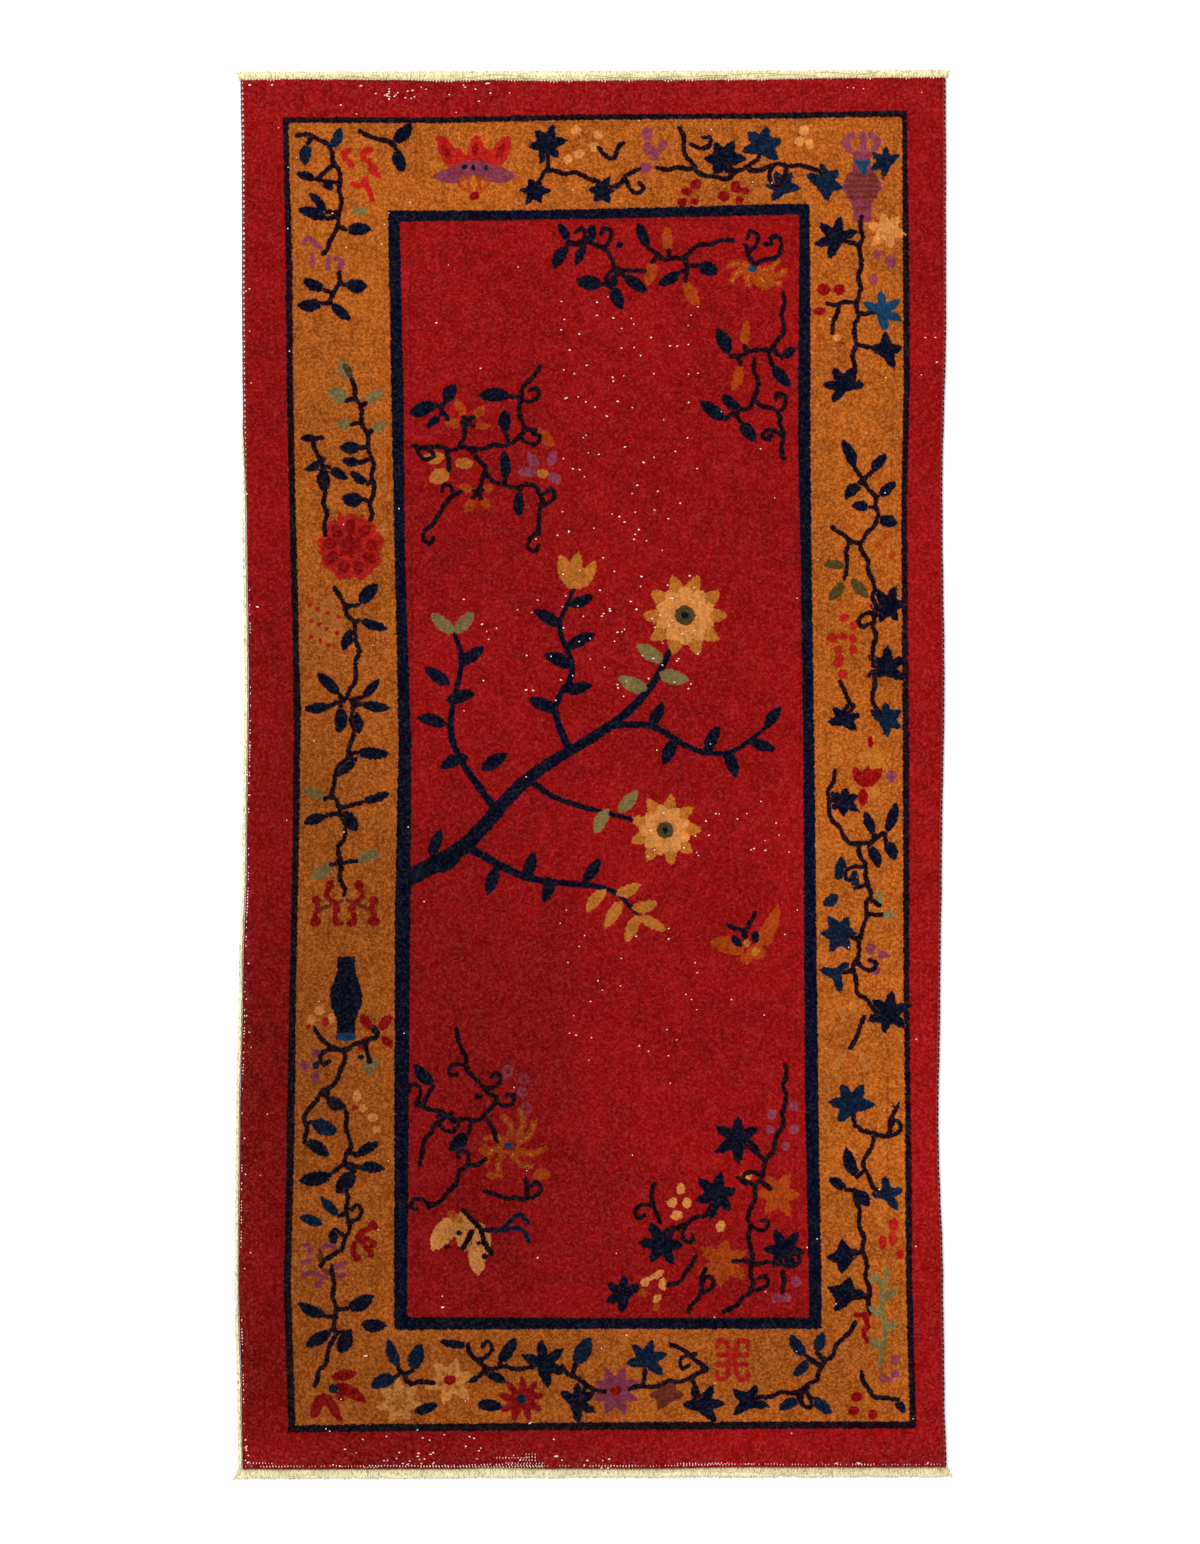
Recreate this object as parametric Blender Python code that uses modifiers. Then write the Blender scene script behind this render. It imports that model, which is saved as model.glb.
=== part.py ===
"""A hand-knotted wool rug that lies flat with its pile up.

The knotted cloth is one slab with the uneven outline of an old rug. A wool-wrapped
cord runs down each long side, and a flat-woven cotton web closes each end, its warp
ends cut short and frayed. X runs across the rug, Y along it, and Z is up from the
floor. The origin is under the middle of the rug.
"""

import math
import random
from collections import namedtuple

import bmesh
import bpy
import numpy as np

# Driving sizes, in metres.
RUG_LENGTH = 1.829
PILE_HEIGHT = 0.008
PILE_EDGE_ROUNDING = 0.0025
CORD_THICKNESS = 0.0056
WEB_DEPTH = 0.0095
WEB_THICKNESS = 0.0022
FIT_GAP = 0.0003

# The cloth is drawn in even steps, which its neighbours share so that they fit it.
COLUMNS = 22
ROWS = 44
ROUNDING_STEPS = 2

# Each lock is two cut warp ends that fray together.
LOCKS_PER_END = 116
LOCK_MIDDLE_WIDTH = 0.75
LOCK_TIP_WIDTH = 0.35
LOCK_MIDDLE_HEIGHT = 0.80
LOCK_TIP_HEIGHT = 0.45
LOCK_SHORTEST = 0.35
LOCK_LEAN = 0.0012

CORD_SIDES_RESOLUTION = 2
CORD_SIDES = 8
CORD_UNEVENNESS = 0.07
CORD_STEPS = 2 * ROWS

# The outer line of each long side, from the top end to the bottom end.
SideSection = namedtuple("SideSection", "along left right")
SIDE_SECTIONS = (
    SideSection(0.900, -0.4597, 0.4612),
    SideSection(0.800, -0.4545, 0.4617),
    SideSection(0.600, -0.4540, 0.4620),
    SideSection(0.355, -0.4520, 0.4571),
    SideSection(0.120, -0.4494, 0.4597),
    SideSection(-0.110, -0.4520, 0.4565),
    SideSection(-0.265, -0.4565, 0.4545),
    SideSection(-0.460, -0.4604, 0.4520),
    SideSection(-0.615, -0.4623, 0.4565),
    SideSection(-0.810, -0.4584, 0.4597),
    SideSection(-0.900, -0.4571, 0.4623),
)

# The line where the pile stops at each end, from the left side to the right.
EndSection = namedtuple("EndSection", "across top bottom")
END_SECTIONS = (
    EndSection(-0.460, 0.8990, -0.8975),
    EndSection(-0.385, 0.9005, -0.8980),
    EndSection(-0.255, 0.8992, -0.8993),
    EndSection(-0.190, 0.8980, -0.8980),
    EndSection(-0.125, 0.8992, -0.8955),
    EndSection(-0.060, 0.8980, -0.8965),
    EndSection(0.070, 0.8992, -0.8980),
    EndSection(0.200, 0.8992, -0.8955),
    EndSection(0.330, 0.9018, -0.8968),
    EndSection(0.460, 0.9018, -0.8950),
)

# Where feet have worn the pile down: the middle of each place, its reach and depth.
WornPlace = namedtuple("WornPlace", "across along reach depth")
WORN_PLACES = (
    WornPlace(-0.23, 0.86, 0.10, 0.0012),
    WornPlace(0.05, 0.38, 0.16, 0.0009),
    WornPlace(0.14, -0.08, 0.10, 0.0008),
    WornPlace(0.04, -0.29, 0.09, 0.0007),
    WornPlace(-0.27, -0.87, 0.09, 0.0012),
    WornPlace(-0.42, 0.10, 0.07, 0.0008),
)

# Slow waves that stay in the pile of a rug that has been rolled up.
WAVE_HEIGHT = 0.00035
WAVE_LENGTH_ALONG = 0.31
WAVE_LENGTH_ACROSS = 0.47


def clear_scene():
    for thing in list(bpy.data.objects):
        bpy.data.objects.remove(thing, do_unlink=True)


def make_collection(name):
    group = bpy.data.collections.new(name)
    bpy.context.scene.collection.children.link(group)
    return group


def make_material(name, colour, roughness):
    material = bpy.data.materials.new(name)
    material.use_nodes = True
    shader = material.node_tree.nodes["Principled BSDF"]
    shader.inputs["Base Color"].default_value = (*colour, 1.0)
    shader.inputs["Roughness"].default_value = roughness
    shader.inputs["Metallic"].default_value = 0.0
    return material


def smooth_line(places, values, steps):
    """Values at even steps from the first place to the last, eased between the rows."""
    places = np.array(places)
    values = np.array(values)
    at = np.linspace(places[0], places[-1], steps + 1)
    rising = places if places[-1] > places[0] else -places
    seek = at if places[-1] > places[0] else -at
    row = np.clip(np.searchsorted(rising, seek, side="right") - 1, 0, len(places) - 2)
    share = (at - places[row]) / (places[row + 1] - places[row])
    eased = share * share * (3.0 - 2.0 * share)
    return values[row] + (values[row + 1] - values[row]) * eased


class Outline:
    """The pile's own outline, read by how far across (0 to 1) and along (0 to 1)."""

    def __init__(self):
        inset = CORD_THICKNESS + FIT_GAP
        bottom_up = SIDE_SECTIONS[::-1]
        places = [section.along for section in bottom_up]
        self.along_steps = np.linspace(0.0, 1.0, ROWS + 1)
        self.left = smooth_line(places, [s.left for s in bottom_up], ROWS) + inset
        self.right = smooth_line(places, [s.right for s in bottom_up], ROWS) - inset
        places = [section.across for section in END_SECTIONS]
        self.across_steps = np.linspace(0.0, 1.0, COLUMNS + 1)
        self.top = smooth_line(places, [s.top for s in END_SECTIONS], COLUMNS)
        self.bottom = smooth_line(places, [s.bottom for s in END_SECTIONS], COLUMNS)

    def point(self, across, along):
        left = np.interp(along, self.along_steps, self.left)
        right = np.interp(along, self.along_steps, self.right)
        top = np.interp(across, self.across_steps, self.top)
        bottom = np.interp(across, self.across_steps, self.bottom)
        x = left + (right - left) * across
        y = bottom + (top - bottom) * along
        return float(x), float(y)


def pile_height(x, y):
    along_wave = math.sin(2.0 * math.pi * y / WAVE_LENGTH_ALONG)
    across_wave = math.cos(2.0 * math.pi * x / WAVE_LENGTH_ACROSS)
    height = PILE_HEIGHT + WAVE_HEIGHT * along_wave * across_wave
    for place in WORN_PLACES:
        apart = math.hypot(x - place.across, y - place.along) / place.reach
        height -= place.depth * math.exp(-apart * apart)
    return height


def link_mesh(name, bm, material, group):
    bmesh.ops.recalc_face_normals(bm, faces=bm.faces)
    mesh = bpy.data.meshes.new(name)
    bm.to_mesh(mesh)
    bm.free()
    mesh.materials.append(material)
    thing = bpy.data.objects.new(name, mesh)
    group.objects.link(thing)
    return thing


def thicken_down(bm):
    """Close a sheet into a slab that stands on the floor, and give back its underside."""
    top_faces = list(bm.faces)
    extruded = bmesh.ops.extrude_face_region(bm, geom=top_faces, use_keep_orig=True)
    underside = [item for item in extruded["geom"] if isinstance(item, bmesh.types.BMVert)]
    for vertex in underside:
        vertex.co.z = 0.0
    return underside


def make_pile_body(outline, material, group):
    """The knotted cloth: one flat slab of foundation and pile, its upper rim rounded."""
    bm = bmesh.new()
    bmesh.ops.create_grid(bm, x_segments=COLUMNS, y_segments=ROWS, size=0.5)
    for vertex in bm.verts:
        x, y = outline.point(vertex.co.x + 0.5, vertex.co.y + 0.5)
        vertex.co = (x, y, pile_height(x, y))
    rounded = bm.edges.layers.float.new("bevel_weight_edge")
    for edge in bm.edges:
        edge[rounded] = 1.0 if edge.is_boundary else 0.0
    underside = thicken_down(bm)
    for vertex in underside:
        for edge in vertex.link_edges:
            edge[rounded] = 0.0
    bmesh.ops.dissolve_limit(
        bm,
        angle_limit=math.radians(0.05),
        verts=underside,
        edges=[edge for edge in bm.edges if all(v.co.z == 0.0 for v in edge.verts)],
        delimit={"NORMAL"},
    )
    body = link_mesh("pile_body", bm, material, group)
    bevel = body.modifiers.new("rounded rim", "BEVEL")
    bevel.limit_method = "WEIGHT"
    bevel.width = PILE_EDGE_ROUNDING
    bevel.segments = ROUNDING_STEPS
    body.data.shade_smooth()
    body.data.set_sharp_from_angle(angle=math.radians(35.0))
    return body


def make_edge_cord(name, across, outline, material, group):
    """The overcast cord along one side: a tube with a flat facet on the floor."""
    outward = -1.0 if across == 0.0 else 1.0
    flat_to_middle = math.cos(math.pi / CORD_SIDES)
    fullest = CORD_THICKNESS / 2.0 / flat_to_middle
    curve = bpy.data.curves.new(name, "CURVE")
    curve.dimensions = "3D"
    curve.fill_mode = "FULL"
    curve.bevel_depth = fullest
    curve.bevel_resolution = CORD_SIDES_RESOLUTION
    curve.use_fill_caps = True
    spline = curve.splines.new("POLY")
    spline.points.add(CORD_STEPS)
    for step, point in enumerate(spline.points):
        x, y = outline.point(across, step / CORD_STEPS)
        swell = math.sin(2.3 * step) * math.cos(0.71 * step + outward)
        fullness = 1.0 - CORD_UNEVENNESS * (0.5 + 0.5 * swell)
        reach = CORD_THICKNESS / 2.0
        rest = reach * fullness
        point.co = (x + outward * (FIT_GAP + reach), y, rest, 1.0)
        point.radius = fullness
        point.tilt = math.pi / CORD_SIDES
    guide = bpy.data.objects.new(name + "_guide", curve)
    group.objects.link(guide)
    bpy.context.view_layer.update()
    evaluated = guide.evaluated_get(bpy.context.evaluated_depsgraph_get())
    bm = bmesh.new()
    bm.from_mesh(bpy.data.meshes.new_from_object(evaluated))
    bmesh.ops.remove_doubles(bm, verts=bm.verts, dist=0.00001)
    bpy.data.objects.remove(guide, do_unlink=True)
    cord = link_mesh(name, bm, material, group)
    cord.data.shade_smooth()
    cord.data.set_sharp_from_angle(angle=math.radians(50.0))
    return cord


def grow_lock(bm, face, length, lean, outward):
    """Draw one frayed lock out of a face of the web, level on the floor."""
    width = max(v.co.x for v in face.verts) - min(v.co.x for v in face.verts)
    middle = sum(v.co.x for v in face.verts) / len(face.verts)
    root = sum(v.co.y for v in face.verts) / len(face.verts)
    stages = (
        (0.5, LOCK_MIDDLE_WIDTH, LOCK_MIDDLE_HEIGHT),
        (1.0, LOCK_TIP_WIDTH, LOCK_TIP_HEIGHT),
    )
    for share, width_share, height_share in stages:
        drawn = bmesh.ops.extrude_discrete_faces(bm, faces=[face])
        face = drawn["faces"][0]
        for vertex in face.verts:
            side = 1.0 if vertex.co.x > middle else -1.0
            vertex.co.y = root + outward * length * share
            vertex.co.z = WEB_THICKNESS * height_share if vertex.co.z > 0.0 else 0.0
            vertex.co.x = middle + side * width * width_share / 2.0
        middle_now = middle + lean * share
        for vertex in face.verts:
            vertex.co.x += middle_now - middle
        middle = middle_now


def make_web_end(name, outward, outline, material, group, chance):
    """A flat-woven strip past the pile, with short frayed locks along its outer edge."""
    along = 1.0 if outward > 0.0 else 0.0
    half_length = RUG_LENGTH / 2.0
    side_reach = (CORD_THICKNESS + FIT_GAP) / (2.0 * abs(outline.left[0]))
    cells = 2 * LOCKS_PER_END + 1
    bm = bmesh.new()
    bmesh.ops.create_grid(bm, x_segments=cells, y_segments=1, size=0.5)
    for vertex in bm.verts:
        across = (vertex.co.x + 0.5) * (1.0 + 2.0 * side_reach) - side_reach
        x, pile_end = outline.point(across, along)
        depth = FIT_GAP if vertex.co.y * outward < 0.0 else FIT_GAP + WEB_DEPTH
        vertex.co = (x, pile_end + outward * depth, WEB_THICKNESS)
    thicken_down(bm)
    bmesh.ops.recalc_face_normals(bm, faces=bm.faces)
    outer_faces = [face for face in bm.faces if face.normal.y * outward > 0.5]
    outer_faces.sort(key=lambda face: face.calc_center_median().x)
    lock_faces = outer_faces[1::2]
    room = min(half_length - abs(face.calc_center_median().y) for face in lock_faces)
    for number, face in enumerate(lock_faces):
        fullness = LOCK_SHORTEST + (1.0 - LOCK_SHORTEST) * chance.random()
        if number == len(lock_faces) // 3:
            length = half_length - abs(face.calc_center_median().y)
        else:
            length = room * fullness
        grow_lock(bm, face, length, LOCK_LEAN * (chance.random() - 0.5), outward)
    web = link_mesh(name, bm, material, group)
    web.data.shade_flat()
    return web


def build_rug():
    clear_scene()
    group = make_collection("chinese_art_deco_rug")
    outline = Outline()
    pile_wool = make_material("madder red pile", (0.34, 0.012, 0.014), 0.93)
    cord_wool = make_material("dark red overcast wool", (0.13, 0.008, 0.010), 0.90)
    cotton = make_material("cream cotton", (0.78, 0.70, 0.42), 0.88)
    make_pile_body(outline, pile_wool, group)
    make_edge_cord("selvedge_left", 0.0, outline, cord_wool, group)
    make_edge_cord("selvedge_right", 1.0, outline, cord_wool, group)
    make_web_end("web_end_top", 1.0, outline, cotton, group, random.Random(3))
    make_web_end("web_end_bottom", -1.0, outline, cotton, group, random.Random(6))


build_rug()
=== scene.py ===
"""The looks of a knotted wool rug: charted pile, overcast sides and frayed cotton ends.

Sizes are in metres, except in the chart, which is drawn in centimetres from the middle
of the rug. X runs across the rug, Y along it and Z up out of the pile.
"""
import math
from collections import namedtuple

import bpy
import numpy as np
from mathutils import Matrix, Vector


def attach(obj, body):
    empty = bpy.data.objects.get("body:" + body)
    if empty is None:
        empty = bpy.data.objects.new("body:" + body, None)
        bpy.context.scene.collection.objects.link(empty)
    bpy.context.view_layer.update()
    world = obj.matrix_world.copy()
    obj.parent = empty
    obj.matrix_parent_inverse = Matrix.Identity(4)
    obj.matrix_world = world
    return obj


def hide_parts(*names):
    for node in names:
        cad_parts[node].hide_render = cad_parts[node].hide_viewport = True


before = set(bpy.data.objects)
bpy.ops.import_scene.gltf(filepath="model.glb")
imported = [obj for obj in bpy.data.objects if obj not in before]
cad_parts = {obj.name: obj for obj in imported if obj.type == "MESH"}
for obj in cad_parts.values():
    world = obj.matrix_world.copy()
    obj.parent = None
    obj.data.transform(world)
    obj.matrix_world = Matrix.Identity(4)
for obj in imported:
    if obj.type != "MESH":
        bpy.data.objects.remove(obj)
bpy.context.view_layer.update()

CM = 0.01

# The knotted cloth, as in the CAD.
PILE_HEIGHT = 0.008
CORD_THICKNESS = 0.0056
WEB_DEPTH = 0.0095
WEB_THICKNESS = 0.0022
FIT_GAP = 0.0003
RUG_LENGTH = 1.829

# Knots across the rug and along it, and the tuft that each one makes.
KNOTS_ACROSS = 232
KNOTS_ALONG = 464
TUFT_RISE = 0.0007
TUFT_SCATTER = 0.00028
TUFT_DROP_AT_RIM = 0.0016
CLOTH_THICKNESS = 0.0014
DARK_WOOL_LOSS = 0.0004

# The outer line of each long side, from the bottom end to the top.
SideSection = namedtuple("SideSection", "along left right")
SIDE_SECTIONS = [SideSection(*row) for row in (
    (-0.900, -0.4571, 0.4623),
    (-0.810, -0.4584, 0.4597),
    (-0.660, -0.4620, 0.4580),
    (-0.460, -0.4604, 0.4520),
    (-0.265, -0.4565, 0.4545),
    (-0.110, -0.4520, 0.4565),
    (0.120, -0.4494, 0.4597),
    (0.355, -0.4520, 0.4571),
    (0.600, -0.4540, 0.4620),
    (0.800, -0.4545, 0.4617),
    (0.900, -0.4560, 0.4612),
)]

# The line where the pile stops at each end, from the left side to the right.
EndSection = namedtuple("EndSection", "across top bottom")
END_SECTIONS = [EndSection(*row) for row in (
    (-0.460, 0.8994, -0.8995),
    (-0.385, 0.9005, -0.8998),
    (-0.255, 0.8992, -0.8993),
    (-0.190, 0.8980, -0.8992),
    (-0.125, 0.8992, -0.8975),
    (-0.060, 0.8980, -0.8990),
    (0.070, 0.8992, -0.8990),
    (0.200, 0.8996, -0.8970),
    (0.330, 0.9020, -0.8972),
    (0.460, 0.9028, -0.8970),
)]

# Where feet have worn the pile down: the middle of each place, its reach and depth.
WornPlace = namedtuple("WornPlace", "across along reach depth")
WORN_PLACES = [WornPlace(*row) for row in (
    (-0.23, 0.86, 0.10, 0.0012),
    (0.05, 0.38, 0.16, 0.0009),
    (0.14, -0.08, 0.10, 0.0008),
    (0.04, -0.29, 0.09, 0.0007),
    (-0.27, -0.87, 0.09, 0.0012),
    (-0.42, 0.10, 0.07, 0.0008),
)]
WAVE_HEIGHT = 0.00035
WAVE_LENGTH_ALONG = 0.31
WAVE_LENGTH_ACROSS = 0.47

# The studio's light on the pile, and the glint of it on the fibres' ends, which is painted into the pile's
# colour.
LIGHT_LEVEL = 1.35
TIP_LIGHT = 0.005
LEAST_LIGHT = 0.0005


def dye(red, green, blue):
    """The share of light that a wool reflects, from the colour that it shows, out of 255, less the painted
    glint.
    """
    shown = [((value / 255.0 + 0.055) / 1.055) ** 2.4 for value in (red, green, blue)]
    return tuple(max(light - TIP_LIGHT, LEAST_LIGHT) / LIGHT_LEVEL for light in shown)


# The wools, in the order in which the chart's layers lie over one another.
DYES = {
    "red": dye(146, 21, 21),
    "gold": dye(166, 86, 27),
    "faded": dye(176, 100, 42),
    "amber": dye(177, 102, 38),
    "peach": dye(206, 130, 66),
    "rust": dye(160, 61, 19),
    "olive": dye(120, 102, 60),
    "sage": dye(76, 60, 32),
    "lavender": dye(136, 58, 76),
    "purple": dye(124, 52, 68),
    "coral": dye(168, 32, 24),
    "crimson": dye(134, 16, 10),
    "plum": dye(104, 44, 30),
    "black": dye(28, 9, 24),
    "navy": dye(17, 18, 33),
    "blue": dye(18, 30, 50),
    "teal": dye(24, 60, 88),
}
GROUND = "red"
CHARTED = [wool for wool in DYES if wool != GROUND]

# Where the rug is darker or lighter than its middle: place, reach and change, in cm.
TonePatch = namedtuple("TonePatch", "x y across along change")
TONE_PATCHES = [TonePatch(*row) for row in (
    (0, 90, 70, 26, 0.11),
    (-46, -60, 16, 45, -0.27),
    (-30, -88, 26, 12, -0.12),
    (-45, 10, 12, 40, -0.10),
    (-14, -50, 16, 30, -0.16),
    (0, -66, 40, 12, -0.06),
    (42, -20, 15, 80, 0.11),
    (12, -44, 12, 22, 0.06),
    (-32, 10, 5, 60, -0.04),
    (-6, -78, 40, 6, -0.09),
    (26, -89, 22, 5, 0.10),
    (44, -84, 5, 14, 0.08),
    (-20, -30, 14, 30, -0.13),
    (-36, 5, 8, 30, -0.12),
    (-42, 65, 6, 25, -0.07),
    (-42, -35, 7, 16, -0.14),
    (-42, -89, 6, 4, 0.22),
    (-14, 35, 12, 22, -0.08),
    (45, -55, 5, 22, 0.14),
    (46, 30, 5, 60, 0.07),
    (27, -12, 4, 30, 0.10),
    (24, -88, 10, 5, 0.14),
    (38, -30, 7, 45, 0.12),
    # A thin line of painted shade along a crease.
    (-7.5, 50, 0.25, 18, -0.22),
    (36, 45, 6, 26, 0.07),
)]

# Where the pile looks paler because more painted glint is added to its colour, in cm.
GLINT_PATCHES = [TonePatch(*row) for row in (
    (0, -90, 90, 2.6, 1.0),
    (0, 88, 90, 5, 0.35),
    (-44.8, -45, 1.3, 55, 0.8),
    (45, -60, 3, 60, 0.5),
)]


def smooth_values(at, places, values):
    """Values between the rows of a table, eased from each row to the next."""
    places, values = np.array(places), np.array(values)
    row = np.clip(np.searchsorted(places, at, side="right") - 1, 0, len(places) - 2)
    share = np.clip((at - places[row]) / (places[row + 1] - places[row]), 0.0, 1.0)
    return values[row] + (values[row + 1] - values[row]) * share * share * (3.0 - 2.0 * share)


def two_lines(sections, share):
    """The two lines that a table holds, at a share of the way through its places."""
    places, first, second = zip(*sections)
    at = places[0] + share * (places[-1] - places[0])
    return smooth_values(at, places, first), smooth_values(at, places, second)


def pile_point(across, along):
    """A place on the pile, from its share of the way across and along."""
    inset = CORD_THICKNESS + FIT_GAP
    left, right = two_lines(SIDE_SECTIONS, along)
    top, bottom = two_lines(END_SECTIONS, across)
    left, right = left + inset, right - inset
    return left + (right - left) * across, bottom + (top - bottom) * along


def pile_height(x, y):
    """The height of the cut pile, with its slow waves and worn places."""
    waves = np.sin(2.0 * np.pi * y / WAVE_LENGTH_ALONG) * np.cos(2.0 * np.pi * x / WAVE_LENGTH_ACROSS)
    return PILE_HEIGHT + WAVE_HEIGHT * waves - worn_depth(x, y)


def worn_depth(x, y):
    """How far the pile is worn down."""
    depth = np.zeros_like(x)
    for place in WORN_PLACES:
        apart = np.hypot(x - place.across, y - place.along) / place.reach
        depth += place.depth * np.exp(-apart * apart)
    return depth


def patched(start, patches, x, y):
    """A value that soft patches raise or lower, at places in cm."""
    value = np.full_like(x, start)
    for patch in patches:
        apart = ((x - patch.x) / patch.across) ** 2 + ((y - patch.y) / patch.along) ** 2
        value += patch.change * np.exp(-apart)
    return value


# ---- The chart: how far each place lies inside each wool's shapes, in cm ----

FAR_OUTSIDE = 9.0
STEM = 0.58

# A vine sends a twig to each leaf of these wools that is no further from it than this.
GREENERY = ("navy", "blue", "olive", "rust", "teal")
TWIG_REACH = 3.3

# How far round its stalk a vine leaf's lobes fan out, in degrees, and the most lobes that do.
LEAF_SPREAD = 236.0
MOST_FANNED = 5

# A curled shoot: how far each of its points lies from its root, and how far it has turned.
SHOOT = ((0, 0), (1.2, -14), (2.3, 4), (2.6, 30), (1.7, 40))


def towards(x, y, reach, turn):
    """The point that lies this far off, in a direction in radians."""
    return x + reach * math.cos(turn), y + reach * math.sin(turn)


def smooth_path(points, step=0.25):
    """A smooth curve through a few points, as short straight steps."""
    points = np.array(points, float)
    ends = np.vstack((2 * points[0] - points[1], points, 2 * points[-1] - points[-2]))
    path = [points[:1]]
    for before, start, stop, after in zip(ends, ends[1:], ends[2:], ends[3:]):
        count = max(2, int(np.hypot(*(stop - start)) / step))
        t = np.arange(1, count + 1)[:, None] / count
        path.append(0.5 * (2 * start + (stop - before) * t
                           + (2 * before - 5 * start + 4 * stop - after) * t ** 2
                           + (3 * start - before - 3 * stop + after) * t ** 3))
    return np.vstack(path)


def wavering(line, kink=0.24):
    """A stem along its general course, with the small kinks of a vine."""
    path = smooth_path(line)
    points = np.vstack((path[:-3:5], path[-1:]))
    sway = kink * np.sin(2.3 * np.arange(len(points)) + path[0, 0])
    sway[[0, -1]] = 0.0
    ahead = np.gradient(points, axis=0)
    aside = np.column_stack((-ahead[:, 1], ahead[:, 0])) / np.hypot(*ahead.T)[:, None]
    return points + sway[:, None] * aside


class Chart:
    """The rug's design, drawn with stems, vines, leaves, spots and vessels.

    Each shape is tied over what was there before it. A vine reaches for the leaves drawn since
    the last one, so it comes after its leaves.
    """

    def __init__(self, x, y):
        self.x = x
        self.y = y
        self.inside = {wool: np.full(len(x), -FAR_OUTSIDE) for wool in CHARTED}
        self.buds = []

    def knot(self, wool, where, depth):
        """Tie a wool wherever the depth is above zero, in place of what was there."""
        for name, held in self.inside.items():
            if name == wool:
                held[where] = np.maximum(held[where], depth)
            else:
                held[where] = np.minimum(held[where], -depth)

    def near(self, path, margin=1.0):
        """The numbers of the places round a path."""
        low = path.min(axis=0) - margin
        high = path.max(axis=0) + margin
        return np.flatnonzero((self.x > low[0]) & (self.x < high[0])
                              & (self.y > low[1]) & (self.y < high[1]))

    def apart_from(self, where, path):
        """For each place, its distance from a path and the share of the path passed there."""
        px, py = self.x[where], self.y[where]
        apart = np.full(len(where), np.inf)
        share = np.zeros(len(where))
        for number, (start, stop) in enumerate(zip(path, path[1:])):
            dx, dy = stop - start
            t = ((px - start[0]) * dx + (py - start[1]) * dy) / (dx * dx + dy * dy + 1e-12)
            t = np.clip(t, 0.0, 1.0)
            here = np.hypot(px - start[0] - t * dx, py - start[1] - t * dy)
            closer = here < apart
            apart[closer] = here[closer]
            share[closer] = (number + t[closer]) / (len(path) - 1)
        return apart, share

    def stems(self, wool, width, *lines, tip=None):
        """Lines of knots through points, from their width to the width of their tip."""
        for points in lines:
            path = smooth_path(points)
            where = self.near(path, width + 1.0)
            apart, share = self.apart_from(where, path)
            half = 0.5 * (width + ((width if tip is None else tip) - width) * share)
            self.knot(wool, where, half - apart)

    def vine(self, *lines):
        """Stems along their general course, with a twig to each leaf near them."""
        lines = [wavering(line) for line in lines]
        self.stems("black", STEM, *lines)
        course = np.vstack([smooth_path(line) for line in lines])
        for x, y, short in self.buds:
            ahead = (x, y) - course
            apart = np.hypot(*ahead.T)
            near = apart.argmin()
            length = apart[near] - short
            if 0.5 * STEM < length < TWIG_REACH:
                tip = course[near] + ahead[near] * length / apart[near]
                self.stems("black", STEM, (course[near], tip))
        self.buds = []

    def tendrils(self, *rows):
        """Curled shoots of one form, each from its root in a direction in degrees."""
        for x, y, turn in rows:
            self.stems("black", 0.9 * STEM, [towards(x, y, reach, math.radians(turn + bend))
                                             for reach, bend in SHOOT])

    def shape(self, wool, outline):
        """A filled outline."""
        path = np.vstack((outline, outline[:1]))
        where = self.near(path)
        apart, _ = self.apart_from(where, path)
        px, py = self.x[where], self.y[where]
        within = np.zeros(len(where), bool)
        for (ax, ay), (bx, by) in zip(path, path[1:]):
            if ay != by:
                crosses = ((ay > py) != (by > py)) & (px < (bx - ax) * (py - ay) / (by - ay) + ax)
                within ^= crosses
        self.knot(wool, where, np.where(within, apart, -apart))

    def leaves(self, wool, *rows):
        """Pointed leaves, each from its base to its tip, with its greatest width."""
        t = np.linspace(0.0, 1.0, 9)
        belly = np.sin(np.pi * t ** 0.9) ** 0.65
        for base_x, base_y, tip_x, tip_y, width in rows:
            ahead = np.array((tip_x - base_x, tip_y - base_y))
            length = np.hypot(*ahead)
            aside = np.array((-ahead[1], ahead[0])) / length
            curl = 0.05 * length * math.sin(7.0 * base_x + 3.0 * tip_y) * np.sin(np.pi * t)
            spine = np.array((base_x, base_y)) + t[:, None] * ahead + curl[:, None] * aside
            half = 0.5 * width * belly[:, None] * aside
            self.shape(wool, np.vstack((spine + half, (spine - half)[::-1])))
            if wool in GREENERY:
                self.buds.append((base_x, base_y, 0.0))

    def stars(self, wool, *rows):
        """Vine leaves: up to five pointed lobes fan out from a stalk, and more go all the way round.

        Each has its place, its reach, its number of lobes and its waist as a share of its reach.
        """
        for x, y, reach, lobes, waist in rows:
            turn = 90.0 + 60.0 * math.sin(5.0 * x + 3.0 * y)
            spread = LEAF_SPREAD if lobes <= MOST_FANNED else 360.0 * (lobes - 1) / lobes
            middles = turn + spread * (np.arange(lobes) / (lobes - 1) - 0.5)
            outline = []
            for angle, after in zip(middles, np.append(middles[1:], middles[0] + 360.0)):
                size = reach * (1.0 + 0.1 * math.sin(5.0 * angle + 3.0 * x))
                notch = reach * waist * (0.72 if after - angle > 100.0 else 0.92)
                shoulder = min(15.0, 0.28 * (after - angle))
                outline += [(angle, size), (angle + shoulder, 0.74 * size),
                            (0.5 * (angle + after), notch), (after - shoulder, 0.74 * reach)]
            turns, radii = np.array(outline).T
            turns = np.radians(turns)
            self.shape(wool, np.column_stack((x + radii * np.cos(turns), y + radii * np.sin(turns))))
            if wool in GREENERY:
                self.buds.append((x, y, 0.4 * reach))

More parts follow.
